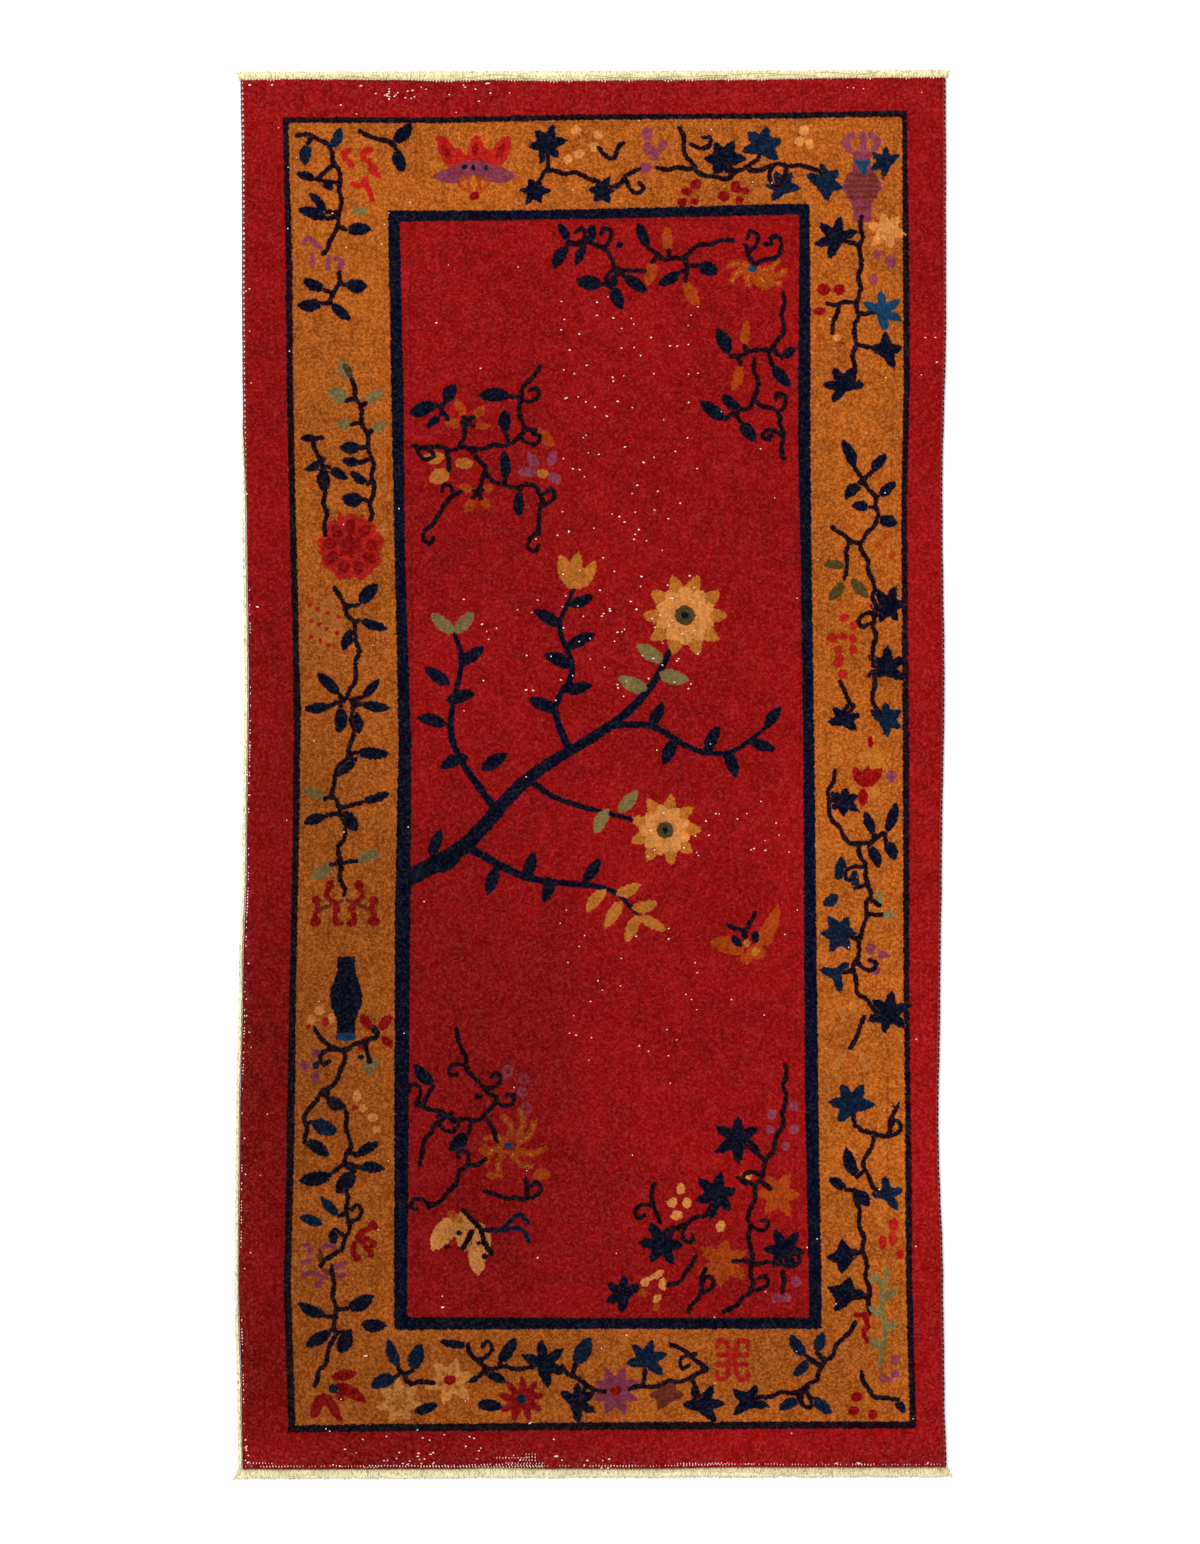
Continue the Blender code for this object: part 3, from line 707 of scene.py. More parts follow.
def draw_right_border(chart):
    """Up the right side, with a faint sprig at its foot."""
    chart.stars("navy", (31.7, 69.4, 2.8, 5, 0.5))
    chart.spots("lavender", (37, 67.4, 0.9, 1.0), (38.8, 66.4, 1.3, 1.6), (36.6, 64.1, 0.9, 1.4))
    chart.stars("peach", (38.3, 70.5, 2.5, 6, 0.5))
    chart.spots("crimson", (30.1, 62.8, 1.6, 1.4), (32.2, 62.8, 1.4, 1.3), (29.6, 60, 1.5, 0.9))
    chart.spots("peach", (31.9, 56.5, 0.9, 0.9))
    chart.spots("rust", (32.2, 55.8, 1.2, 0.5), (29.7, 56.5, 0.8, 1.0), (37.2, 29.6, 0.8, 0.8),
                (38.2, 30.8, 0.8, 0.8), (39, 28.4, 0.8, 0.9))
    chart.stars("teal", (37.8, 59.9, 2.7, 5, 0.46))
    chart.stars("navy", (38.2, 54.9, 2.5, 4, 0.5), (32.7, 50.4, 3.0, 5, 0.42))
    chart.leaves("navy", (34.2, 39.6, 32.5, 43.4, 1.5), (36.4, 39.2, 38.3, 41.5, 1.4),
                 (34.8, 37.7, 32.9, 35.7, 1.5), (37.2, 36, 39.5, 37.9, 1.3), (36.1, 34.6, 33.7, 34.8, 1.4),
                 (37.2, 33.2, 39.8, 32.5, 1.6))
    chart.leaves("sage", (32.9, 27, 30.1, 27.2, 1.1), (32.6, 24.8, 30.9, 22.6, 1.2),
                 (33.8, 25.4, 35.9, 22.9, 1.3))
    chart.spots("coral", (32.8, 20.3, 1.2, 1), (34, 19.3, 1.1, 1.1), (31.2, 17.7, 1.2, 1),
                (32.6, 17.9, 1.1, 0.9), (33.9, 17.6, 1.0, 1.1), (32, 16.2, 1.0, 0.9),
                (33.9, 16.2, 1.0, 1.1), (32.3, 15.2, 0.8, 0.8), (32, 14.4, 1.3, 1.0), (32.6, 13, 1.1, 1.2))
    chart.stars("navy", (38.4, 21.9, 2.6, 6, 0.56), (38.2, 13.8, 2.8, 5, 0.52), (32.8, 7.2, 2.4, 5, 0.52))
    chart.stars("blue", (38.2, 7.1, 2.4, 5, 0.56))
    chart.stars("amber", (36.4, 1.7, 2.3, 5, 0.66))
    chart.spots("amber", (31.8, 3.4, 1.3, 1.1), (31.8, 1.8, 1.3, 1.1), (36.6, -2.2, 1.6, 1.6))
    chart.leaves("crimson", (35.8, -1.6, 34, 0.9, 1.3), (35.8, -1.6, 35.9, 1.1, 1.3),
                 (35.8, -1.6, 37.7, 0.8, 1.3))
    chart.spots("crimson", (35.2, -3, 1.2, 2.1), (36.2, 4.2, 0.5, 1.5))
    chart.spots("lavender", (38.9, -0.2, 1.2, 1.6))
    chart.stars("navy", (32.8, -3.5, 2.2, 6, 0.56))
    chart.leaves("navy", (36.6, -7.8, 35.4, -4.7, 1.3), (38.2, -7.6, 39.6, -3.5, 1.4),
                 (38.2, -8.6, 39.4, -11.1, 1.6), (36, -9.2, 37.4, -12.1, 1.5),
                 (34.4, -52.2, 33, -48.3, 1.7), (33, -53.8, 30.8, -52.3, 1.3),
                 (34.1, -54, 36.1, -55.9, 1.7), (39.2, -44, 39.9, -42.4, 0.9))
    chart.leaves("blue", (32, -13.8, 32.5, -10.6, 1.5), (34.2, -14.7, 34.2, -12.3, 1.2),
                 (31.9, -15.6, 30.1, -17, 1.5))
    chart.leaves("olive", (37.4, -17, 37.2, -15, 1.0), (37.6, -18.2, 39.4, -18.2, 0.9))
    chart.stars("blue", (32.2, -20.6, 2.6, 6, 0.62))
    chart.spots("purple", (36.2, -22.6, 1.0, 1.4), (37.8, -23.4, 1.2, 0.9), (36.4, -24.3, 0.9, 0.7),
                (36.9, -25.3, 1.0, 1.1))
    chart.stars("blue", (31.7, -25.9, 2.5, 3, 0.42))
    chart.stars("navy", (38.5, -30.9, 3.0, 6, 0.5))
    chart.leaves("faded", (33.2, -31.8, 31.6, -29.8, 1.0), (34.0, -31.2, 34.2, -28.6, 0.9),
                 (32.8, -36, 31.2, -38.2, 1.0), (35.2, -36, 36.0, -38.6, 1.1))
    chart.stars("blue", (33.7, -42.7, 3.0, 5, 0.56), (38.4, -54.4, 2.4, 4, 0.46))
    chart.spots("coral", (39.2, -58.3, 1.2, 1.5), (39.1, -60.2, 1, 1.7), (37.8, -60.6, 0.9, 1.8),
                (40, -62.1, 1, 1.1))
    chart.stars("navy", (32.9, -62.5, 2.4, 4, 0.6), (33, -67.4, 2.6, 4, 0.6))
    chart.stems("crimson", 0.55, ((34.4, -70), (36, -70)),
                ((35.3, -70), (35.9, -71.4), (35.3, -72.2), (35.7, -73.4)))
    chart.vine(((35, 72.2), (34.8, 64), (34.2, 57), (34, 50.8)), ((34.2, 61), (30.6, 61)),
               ((32.2, 61), (31.2, 57.2)), ((35.2, 38.2), (37.2, 34), (34.6, 30), (31.2, 32)),
               ((34.8, 30), (36.6, 24), (36.6, 14)), ((33.4, 30), (32.8, 25.4)), ((32.2, 12), (34, 8.8)),
               ((36.6, 13), (36.6, 9.6), (37.8, 7.6)), ((31.6, 0.4), (30.8, -4.4), (34, -9), (38.2, -7.6)),
               ((34.6, -9.2), (36, -15), (35, -20.6)), ((35, -20.6), (34.2, -27), (37.2, -31)),
               ((35.4, -31.4), (33.6, -35.4)), ((34.2, -45.4), (38, -46.8), (39.6, -43)),
               ((36.6, -47), (35.4, -51), (37.2, -54)), ((34.2, -53.8), (35.4, -62), (36.2, -69.8)))
    chart.tendrils((36.8, 21, 200), (34.4, -24, 320), (35.2, -12, 190), (38, -46.8, 20))
    faint_sprig(chart, 37.4, -76.6)


def faint_sprig(chart, x, y):
    """A faded sprig of small leaves on one upright stem."""
    chart.stems("olive", 0.5, ((x, y), (x + 0.7, y + 4.5), (x + 0.2, y + 8.5), (x + 1.0, y + 12.5)))
    for step in range(5):
        rise, side = y + 2.2 + 2.1 * step, 1.0 if step % 2 else -1.0
        chart.leaves("olive", (x + 0.4, rise, x + 0.4 + 1.9 * side, rise + 1.5, 1.0))


def draw_field(chart):
    """The sprays, the bough and the butterflies, each over what comes before it."""
    for draw in (draw_top_right_spray, draw_left_spray, draw_centre_bough, gold_butterfly,
                 draw_lower_left_spray, spotted_butterfly, draw_lower_right_spray):
        draw(chart)


def feathery_flower(chart, x, y, *petals):
    """A flower of thin curled petals, gold in rust, each with its direction in degrees and length."""
    for turn, length in petals:
        points = [towards(x, y, part * length, math.radians(turn + curl))
                  for part, curl in ((0.3, 0), (0.7, 9), (1.0, 24))]
        chart.stems("rust", 0.85, points, tip=0.6)
        chart.stems("amber", 0.32, points)
        chart.stems("peach", 0.16, points[:2])
    chart.spots("teal", (x, y, 1.1, 0.9))


def draw_top_right_spray(chart):
    """The spray that hangs into the field from its top right corner."""
    chart.spots("navy", (24.3, 49, 0.9, 0.9), (23.2, 43.8, 1, 0.9), (24.9, 40.9, 1, 0.8),
                (3.7, 68.6, 0.9, 0.8), (22.7, 68.7, 0.8, 0.7))
    chart.leaves("navy", (-2.9, 69.1, -4.3, 71.3, 1.2), (-3.1, 68.5, -4.9, 65.4, 1.6),
                 (0, 68.8, 0.2, 71.3, 1.2), (-0.8, 68.5, -2, 65.9, 1.2), (1.5, 63.6, -2, 64, 1.9),
                 (2.9, 63.3, 4, 60.1, 1.7), (4.2, 64.6, 7.3, 62.4, 1.5), (7.4, 68.2, 6.1, 71.5, 1.4),
                 (11.6, 65.2, 8.6, 63.4, 1.5), (13.9, 66, 16.5, 65, 1.9), (17.9, 54.3, 16.3, 57.9, 1.8),
                 (24.7, 54, 26.5, 55.3, 1.2), (23.4, 53, 25.9, 50.1, 1.6), (19.5, 47.1, 16.9, 49.3, 1.5),
                 (17.4, 45.9, 14.1, 48.4, 1.7), (19.3, 45.7, 21.3, 43.1, 1.7))
    chart.leaves("rust", (10, 67.8, 9.8, 71, 1.2), (7.9, 66.4, 7.4, 63.4, 1.5),
                 (12.2, 63.8, 13.9, 60.7, 1.4), (19.9, 55.5, 20.2, 58.7, 1.1),
                 (19.3, 53.1, 18.4, 49.7, 1.2))
    feathery_flower(chart, 20.9, 65.5, (150, 3.0), (188, 3.1), (236, 2.2), (285, 3.1), (308, 4.0),
                    (332, 4.2), (352, 3.4))
    chart.vine(((-3, 68.8), (1.4, 68.4), (3.4, 65.4), (7, 65.2)), ((3.8, 65.2), (2.2, 63.6)),
               ((7.4, 68.2), (10.6, 66.6), (14.4, 68.6), (18.4, 69.2)), ((12.2, 66.6), (12.2, 64)),
               ((20, 68.6), (21.2, 66.2), (24.4, 67.4)), ((24.9, 62.4), (24.2, 56), (18, 54.2)),
               ((21.2, 53.8), (21.2, 48.6), (17.4, 46)), ((21.2, 48.4), (24.4, 46.4), (24.8, 41)))
    chart.tendrils((1.6, 68.2, 60), (3.4, 65.6, 225), (20.6, 67.8, 60), (24.2, 67.2, 80), (24.2, 46.8, 60),
                   (24.8, 43.6, 150), (-2.8, 68.8, 20))


def draw_left_spray(chart):
    """The hanging spray at the upper left of the field."""
    chart.spots("navy", (-15.9, 45.8, 0.9, 1.0), (-14.7, 36.4, 1.0, 0.9))
    chart.leaves("navy", (-20, 48, -23.6, 46.6, 1.9), (-18.9, 48.2, -17.5, 50.6, 1.7),
                 (-19.6, 46.5, -21.3, 44.8, 1.1), (-10.4, 49, -14.7, 49, 1.8),
                 (-11.1, 44.2, -11.1, 47.3, 1.6), (-11.1, 38.2, -11.4, 42, 1.4),
                 (-9.2, 36.8, -9.3, 33.3, 1.4))
    chart.leaves("rust", (-16.5, 46.3, -17.5, 48.5, 1.0), (-15.2, 46.2, -13.9, 47.7, 1.0),
                 (-16.8, 45.5, -18.9, 45.4, 1.1), (-15.2, 45.2, -13, 45.2, 0.8),
                 (-15.2, 36.7, -17.1, 37.3, 0.9), (-14.1, 36.8, -12.7, 37.3, 1.0),
                 (-15.3, 35.8, -16.3, 33.9, 1.1), (-14.2, 35.8, -13.1, 34.5, 1.0),
                 (-7.2, 44.6, -4.9, 42.6, 1.5))
    chart.leaves("amber", (-19, 41.1, -21.9, 41, 1.4), (-17.6, 40.4, -15.2, 40.4, 1.3),
                 (-18.4, 39.1, -20.9, 38, 1.9))
    chart.leaves("lavender", (-7, 39.1, -9.5, 39.2, 1.1), (-7, 39.9, -8.1, 41.7, 1.1),
                 (-5.4, 40, -4.7, 41.8, 1.0), (-5.4, 39, -4, 37.7, 1.3))
    chart.spots("amber", (-6.3, 39, 1.2, 1.1))
    chart.vine(((-20.2, 48), (-18.6, 46)),
               ((-23.2, 42.6), (-16, 42.2), (-9.2, 43.6), (-9.2, 48.8), (-6.6, 53)),
               ((-17, 42.6), (-16, 46)), ((-18.8, 42.2), (-18.4, 39.4)),
               ((-15.4, 42), (-12, 37.6), (-6.8, 37), (-6.8, 31.2)), ((-14, 39), (-14.8, 36.4)),
               ((-16.8, 36.6), (-19, 35), (-20.6, 32.2)))
    chart.tendrils((-22.6, 42.6, 300), (-9, 48.4, 10), (-6.8, 35, 20), (-19, 35, 60), (-6.8, 31.4, 230),
                   (-20.4, 32.4, 230), (-9.2, 43.8, 330))


def blossom(chart, x, y, reach, petals=10):
    """A big gold blossom seen from above, of two rounds of petals and a sage heart."""
    for ring, wool, start in ((1.0, "amber", 0.0), (0.72, "peach", 0.5)):
        for angle in (np.arange(petals) + start) * 2.0 * np.pi / petals:
            dx, dy = reach * np.cos(angle), reach * np.sin(angle)
            chart.leaves(wool, (x + 0.18 * dx, y + 0.18 * dy, x + ring * dx, y + ring * dy, 0.36 * reach))
    chart.spots("sage", (x, y, 0.46 * reach, 0.46 * reach))
    chart.spots("navy", (x, y, 0.16 * reach, 0.16 * reach))


def draw_centre_bough(chart):
    """A generic flowering bough across the middle of the field."""
    for width, tip, line in (
            (2.3, 0.75, ((-24.0, -13.6), (-16.4, -9.2), (-8.2, -0.6), (2.6, 6.4), (7.6, 11.2), (10.4, 16.4))),
            (1.1, 0.55, ((-16.4, -9.2), (-8, -13.4), (2, -14.8), (6.2, -18.2))),
            (1.0, 0.55, ((-12, -5.2), (-18, 4.6), (-16.8, 14.4), (-17.8, 18.6))),
            (0.9, 0.5, ((-3, 3.4), (-4.6, 8.6), (-2.4, 13.6), (-4, 19), (-2.2, 24))),
            (0.9, 0.5, ((2.6, 6.4), (8, 6.2), (13.4, 3.2), (18.2, 3), (22.6, 6))),
            (0.8, 0.5, ((-8.2, -0.6), (-3.6, -3.4), (6, -6)))):
        chart.stems("navy", width, line, tip=tip)
    chart.leaves("navy", (-14.2, 0.6, -10.8, 2.8, 1.7), (-15.8, 2.4, -19.6, 0.8, 1.6),
                 (-18.6, 6.4, -22.6, 7.4, 1.6), (-18.8, 9.4, -15, 10.6, 1.6), (-18.2, 11.6, -21.6, 14, 1.6),
                 (-17, 14.2, -13.8, 16.6, 1.6), (-4.4, 8, -8.2, 9.8, 1.7), (-3.6, 10.8, 0.2, 11.6, 1.6),
                 (-2.4, 13.8, -6.2, 15.6, 1.7), (-3.2, 16.4, 0.6, 18.2, 1.6), (-3.8, 19.2, -7.4, 21.4, 1.6),
                 (-3, 22, 0.4, 23.2, 1.5), (7.6, 6.2, 9.4, 9.4, 1.5), (11, 4.6, 9.4, 1.2, 1.6),
                 (14.8, 3, 16.6, 6.4, 1.6), (17.4, 3, 18.8, -0.4, 1.6), (20.6, 4.2, 24, 3.2, 1.4),
                 (22.6, 6, 24.6, 8.8, 1.4), (-12.2, -12, -13.4, -15.6, 1.6), (-8.6, -13.4, -7.4, -10, 1.6),
                 (-5.2, -13.2, -6.2, -16.6, 1.6), (-1, -13.8, 1.2, -10.8, 1.5),
                 (-20.8, -10.8, -19.4, -7, 1.5), (-16.8, -9.4, -19.4, -12.8, 1.4))
    chart.leaves("olive", (7.4, 11, 3.6, 12.6, 1.7), (8.8, 13.2, 12.6, 12.2, 1.7),
                 (9.4, 14.6, 6, 16.8, 1.7), (-17.6, 18.4, -20.6, 20.8, 1.5), (-17.6, 18.2, -15.2, 21, 1.5),
                 (2.2, -4.4, 0.6, -7.6, 1.5), (3.6, -4.8, 6, -2.2, 1.5))
    chart.leaves("amber", (2, -14.8, -0.6, -17.8, 1.4), (3.2, -15.6, 6.4, -14.2, 1.4),
                 (4, -16.4, 1.8, -19.8, 1.4), (5.2, -17.4, 8.6, -16.6, 1.4), (6.2, -18.2, 4.6, -21.6, 1.4),
                 (6.4, -18.4, 9.6, -20.2, 1.3), (-2.2, 24, -4, 28.4, 1.8), (-2.2, 24, -1.6, 28.8, 1.8),
                 (-2.2, 24, 0.6, 27.6, 1.6))
    blossom(chart, 12.2, 20.6, 5.4)
    blossom(chart, 9.6, -7.2, 4.6, petals=9)


def gold_butterfly(chart):
    """A butterfly seen from the side, gold in rust, with dark feelers."""
    chart.leaves("rust", (20, -22.6, 15.5, -21.7, 2.2), (21.4, -22.4, 24.3, -17.0, 1.7))
    chart.spots("rust", (22.4, -21.2, 2.2, 1.9), (21.4, -23, 2.2, 1.8), (20.1, -23.8, 1.4, 1.3),
                (18.6, -22.6, 2, 1.4))
    chart.spots("amber", (21.3, -22.9, 1.3, 1.3), (20.2, -21.8, 0.7, 1.0))
    chart.stems("black", 0.55, ((17.6, -19.5), (19.8, -20.3)), ((21.2, -18), (20.1, -20.2)))
    chart.spots("navy", (19.9, -20.7, 0.9, 1.4), (21.3, -21.1, 1.0, 1.5))
    chart.leaves("navy", (18.1, -20.9, 19.6, -22.3, 1.0))


def draw_lower_left_spray(chart):
    """The spray at the lower left of the field."""
    chart.spots("navy", (-14.6, -41.7, 1.0, 0.8), (-19.6, -44.3, 1.0, 0.7))
    chart.leaves("navy", (-20.4, -40.2, -23, -37.5, 1.6), (-15.9, -46.5, -18.4, -48.7, 1.8))
    chart.curls("lavender", 0.24, (-10.8, -38.4, 0.6), (-8.7, -39.5, 0.55), (-8.9, -41.1, 0.5),
                (-8.4, -43.3, 0.6))
    feathery_flower(chart, -10.6, -48, (18, 4.4), (48, 4.8), (78, 3.8), (140, 3.2), (190, 3.6),
                    (232, 4.2), (292, 4.0), (330, 4.6))
    chart.spots("rust", (-13.8, -48.6, 1.2, 1.3), (-12.8, -52, 1.3, 0.9), (-6.4, -51.8, 2.0, 1.4))
    chart.vine(((-17.4, -33), (-15.6, -38.8), (-12.4, -42.2), (-15.8, -44.8), (-22.8, -42.6)),
               ((-18, -43.8), (-21, -46.4), (-22.2, -50.6)), ((-13.4, -44.8), (-12.2, -47.6)),
               ((-13.6, -49.8), (-16.8, -51.4), (-18.4, -54.2), (-21, -56)),
               ((-8.4, -52.4), (-8.8, -55), (-13.8, -54)))
    chart.tendrils((-15.9, -38, 170), (-13.8, -40.6, 20), (-19.8, -45.2, 330), (-16.6, -51.2, 70),
                   (-8.6, -54.8, 20), (-22.6, -42.6, 80), (-20.8, -56, 150), (-12.4, -42.4, 350))


def spotted_butterfly(chart):
    """A pale butterfly with dark spots, whose feelers end in blue."""
    chart.leaves("peach", (-16.9, -57.2, -20.6, -61.6, 2.5), (-16.6, -56.4, -16.4, -61.8, 2.3),
                 (-15.4, -57.8, -13.4, -62.2, 2.3), (-15.2, -60.6, -14.6, -64.8, 2.0))
    chart.spots("amber", (-17.4, -57.6, 1.8, 1.5))
    chart.spots("rust", (-18.0, -57.0, 1.1, 0.9))
    chart.stems("black", 0.66, ((-16.6, -56.4), (-14.4, -58.8), (-13.8, -60.6), (-12.9, -62)),
                ((-15.4, -59.2), (-16.6, -61.4)), ((-13.8, -59), (-11.6, -59)))
    chart.stems("blue", 0.55, ((-11.6, -59), (-9.4, -57), (-8.2, -58)),
                ((-12, -59.1), (-9.2, -58.8), (-8, -60.6)))
    chart.spots("black", (-17, -59.4, 0.9, 0.6), (-18.6, -61.1, 0.9, 0.6), (-14.6, -60.7, 0.7, 0.6),
                (-13.8, -62.4, 0.9, 0.6))


def draw_lower_right_spray(chart):
    """The vine that climbs the lower right of the field."""
    chart.stars("rust", (24.2, -54.4, 2.9, 6, 0.54), (17.1, -63.2, 3.3, 6, 0.54))
    chart.stars("navy", (19, -47.2, 3.2, 6, 0.5), (16.2, -54.5, 3.1, 6, 0.5), (9.2, -60.8, 3.1, 6, 0.5),
                (4.2, -67.3, 2.8, 5, 0.46), (25.1, -61.7, 3.0, 6, 0.52))
    chart.leaves("rust", (19.0, -52.2, 20.8, -52.2, 1.2), (6.2, -67.1, 7.2, -67.1, 0.9),
                 (8.2, -69.4, 8.8, -68.4, 0.8))
    chart.leaves("peach", (20, -52.6, 20.6, -51.4, 0.8), (16.6, -59.2, 17.0, -57.8, 1.0),
                 (11.6, -54.4, 11.6, -53, 1.0), (10.1, -55.9, 11, -55, 1.1),
                 (12.4, -56.2, 12.4, -54.8, 1.0), (10.4, -57.2, 11.9, -57, 1.1),
                 (6.4, -66.1, 7.6, -65.3, 0.9), (7.6, -65.2, 9.5, -64.2, 0.7),
                 (9.3, -66.8, 9.4, -65.2, 0.9), (8.2, -68.3, 9.0, -67.4, 0.9))
    chart.spots("lavender", (23.4, -44, 1.1, 1.2), (23.2, -46, 1.1, 1.1), (26.3, -43, 1.1, 1.0),
                (26.3, -46, 1.2, 1.1), (25.2, -48.2, 1.0, 1))
    chart.curls("lavender", 0.3, (26.6, -65.7, 0.45), (23.9, -67.8, 0.4), (25.4, -67.8, 0.36))
    chart.vine(((25.2, -37.6), (24.8, -45), (22, -52), (20.4, -58), (21, -62.8)),
               ((19, -63), (24.4, -63.4)), ((20.8, -63.2), (20.6, -67), (17.2, -69.6)),
               ((24.8, -64.4), (24.8, -67)), ((14.8, -57.2), (12.4, -58), (10.4, -59)),
               ((8.2, -53), (8, -55.8), (9, -58)), ((13.6, -62.4), (12.2, -64.8), (10, -66.2)),
               ((14.8, -64), (14, -67.4), (12.6, -69.6)))
    chart.tendrils((20.4, -58, 330), (20.6, -66.6, 10), (14, -67.2, 30), (12.6, -58, 250), (24.6, -63.4, 0),
                   (8, -55.8, 190), (22.2, -52, 170))


def drawn_chart(x, y):
    """The whole design at these places, in cm."""
    chart = Chart(x, y)
    for draw in (draw_stripes, draw_top_border, draw_left_border, draw_bottom_border,
                 draw_right_border, draw_field):
        draw(chart)
    return chart


# ---- Meshes ----


def link_mesh(name, points, faces, materials, smooth=True):
    """A piece from its points and its batches of faces, which hold rows of point numbers."""
    mesh = bpy.data.meshes.new(name)
    corners = np.concatenate([batch.ravel() for batch in faces]).astype(np.int32)
    sizes = np.concatenate([np.full(len(batch), batch.shape[1]) for batch in faces])
    mesh.vertices.add(len(points))
    mesh.vertices.foreach_set("co", np.asarray(points, np.float32).ravel())
    mesh.loops.add(len(corners))
    mesh.loops.foreach_set("vertex_index", corners)
    mesh.polygons.add(len(sizes))
    mesh.polygons.foreach_set("loop_start", (np.cumsum(sizes) - sizes).astype(np.int32))
    mesh.update(calc_edges=True)
    mesh.polygons.foreach_set("use_smooth", np.full(len(sizes), smooth))
    for material in materials:
        mesh.materials.append(material)
    piece = bpy.data.objects.new(name, mesh)
    bpy.context.scene.collection.objects.link(piece)
    return piece


def add_values(piece, name, values):
    """A number at each point, which the materials read by name."""
    layer = piece.data.attributes.new(name, "FLOAT", "POINT")
    layer.data.foreach_set("value", np.asarray(values, np.float32).ravel())


def add_map(piece, name, places):
    """A flat map, with a place for each corner of each face."""
    layer = piece.data.uv_layers.new(name=name, do_init=False)
    layer.uv.foreach_set("vector", np.asarray(places, np.float32).ravel())


def add_wools(piece, chart, source=slice(None)):
    """How far each point lies inside each wool's shapes."""
    for wool in CHARTED:
        add_values(piece, wool, chart.inside[wool][source])


def corner_points(piece):
    """The number of the point at each corner of each face."""
    found = np.empty(len(piece.data.loops), np.int32)
    piece.data.loops.foreach_get("vertex_index", found)
    return found


def quads(near, after, turned=False):
    """Four-sided faces between two sets of point numbers, from each row to the next."""
    corners = (near[:-1], after[:-1], after[1:], near[1:])
    if turned:
        corners = corners[:1] + corners[:0:-1]
    return np.stack(corners, axis=-1).reshape(-1, 4)


def block_sides(number, low_row, high_row, low_column, high_column):
    """The point numbers along the four sides of a block, counterclockwise."""
    return (number[low_row, low_column:high_column], number[low_row:high_row, high_column],
            number[high_row, high_column:low_column:-1], number[high_row:low_row:-1, low_column])


def rim_of(number):
    """The point numbers round a whole grid, counterclockwise."""
    return np.concatenate(block_sides(number, 0, -1, 0, -1))


# The square map for baking: the top takes its lower part, the walls come above that, and
# the underside is squeezed in above them.
TOP_SCALE = (1.0, 0.94)
WALLS_START = 0.945
UNDERSIDE_SCALE = (1.0, 0.03)
UNDERSIDE_PLACE = (0.0, 0.97)


def wall_places(count, low, high):
    """Places on the map for one round of wall faces, between two levels."""
    passed = np.linspace(0.0, 1.0, count + 1)
    corners = ((passed[:-1], low), (passed[1:], low), (passed[1:], high), (passed[:-1], high))
    return np.stack([np.column_stack((at, np.full(count, level))) for at, level in corners],
                    axis=1).reshape(-1, 2)


def add_bake_map(piece, points, top_corners, walls):
    """The map for baking, for faces that come as top, walls and underside."""
    numbers = corner_points(piece)
    flat = (points[:, :2] - points[:, :2].min(axis=0)) / np.ptp(points[:, :2], axis=0)
    places = flat[numbers] * TOP_SCALE
    stop = top_corners + len(walls)
    places[top_corners:stop] = walls
    places[stop:] = flat[numbers[stop:]] * UNDERSIDE_SCALE + UNDERSIDE_PLACE
    add_map(piece, "OFBake", places)


def grid(rows, columns):
    """The row and the column of every corner of a grid of cells."""
    return np.meshgrid(np.arange(rows + 1.0), np.arange(columns + 1.0), indexing="ij")


def random_wave(at, count, low, high, chance):
    """Values that wander between two limits, along rising places."""
    return np.interp(at, np.linspace(at[0], at[-1], count), chance.uniform(low, high, count))


def ellipse_swell(t, least):
    """The swell of a short nub along its length, whose ends never narrow to nothing."""
    return np.sqrt(np.clip(1.0 - t * t, least, 1.0))


class Strands:
    """Many short yarns, each a round tube that narrows or swells, gathered in one mesh."""

    def __init__(self, sides):
        self.sides = sides
        self.points = []
        self.faces = []
        self.caps = []
        self.count = 0

    def add(self, x, y, z, radii):
        """A yarn along a line, with its radius at each step."""
        line = np.column_stack(np.broadcast_arrays(x, y, z))
        ahead = np.gradient(line, axis=0)
        ahead /= np.linalg.norm(ahead, axis=1)[:, None] + 1e-12
        aside = np.cross(ahead, (0.0, 0.0, 1.0))
        aside /= np.linalg.norm(aside, axis=1)[:, None] + 1e-12
        above = np.cross(aside, ahead)
        turn = np.arange(self.sides) * 2.0 * np.pi / self.sides
        ring = np.cos(turn)[None, :, None] * aside[:, None] + np.sin(turn)[None, :, None] * above[:, None]
        points = line[:, None] + np.asarray(radii, float)[:, None, None] * ring
        steps, sides = len(line), self.sides
        number = self.count + np.arange(steps * sides).reshape(steps, sides)
        self.faces.append(quads(number, np.roll(number, -1, axis=1)))
        self.caps += [number[0][::-1], number[-1]]
        self.points.append(points.reshape(-1, 3))
        self.count += steps * sides

    def link(self, name, material):
        faces = [np.vstack(self.faces), np.vstack(self.caps)]
        return link_mesh(name, np.vstack(self.points), faces, [material])


# ---- The knotted pile ----

# The outermost knots that the rim rounds off, the drawn depth at which dark wool is fully
# worn, and how far a tuft leans for each part of its scatter in height.
RIM_KNOTS = 1.6
DARK_EDGE = 0.15
LEAN_OF_SCATTER = 1.3
# The share of a block's half width past which a point of its rim faces outward that way.
ON_SIDE = 0.985


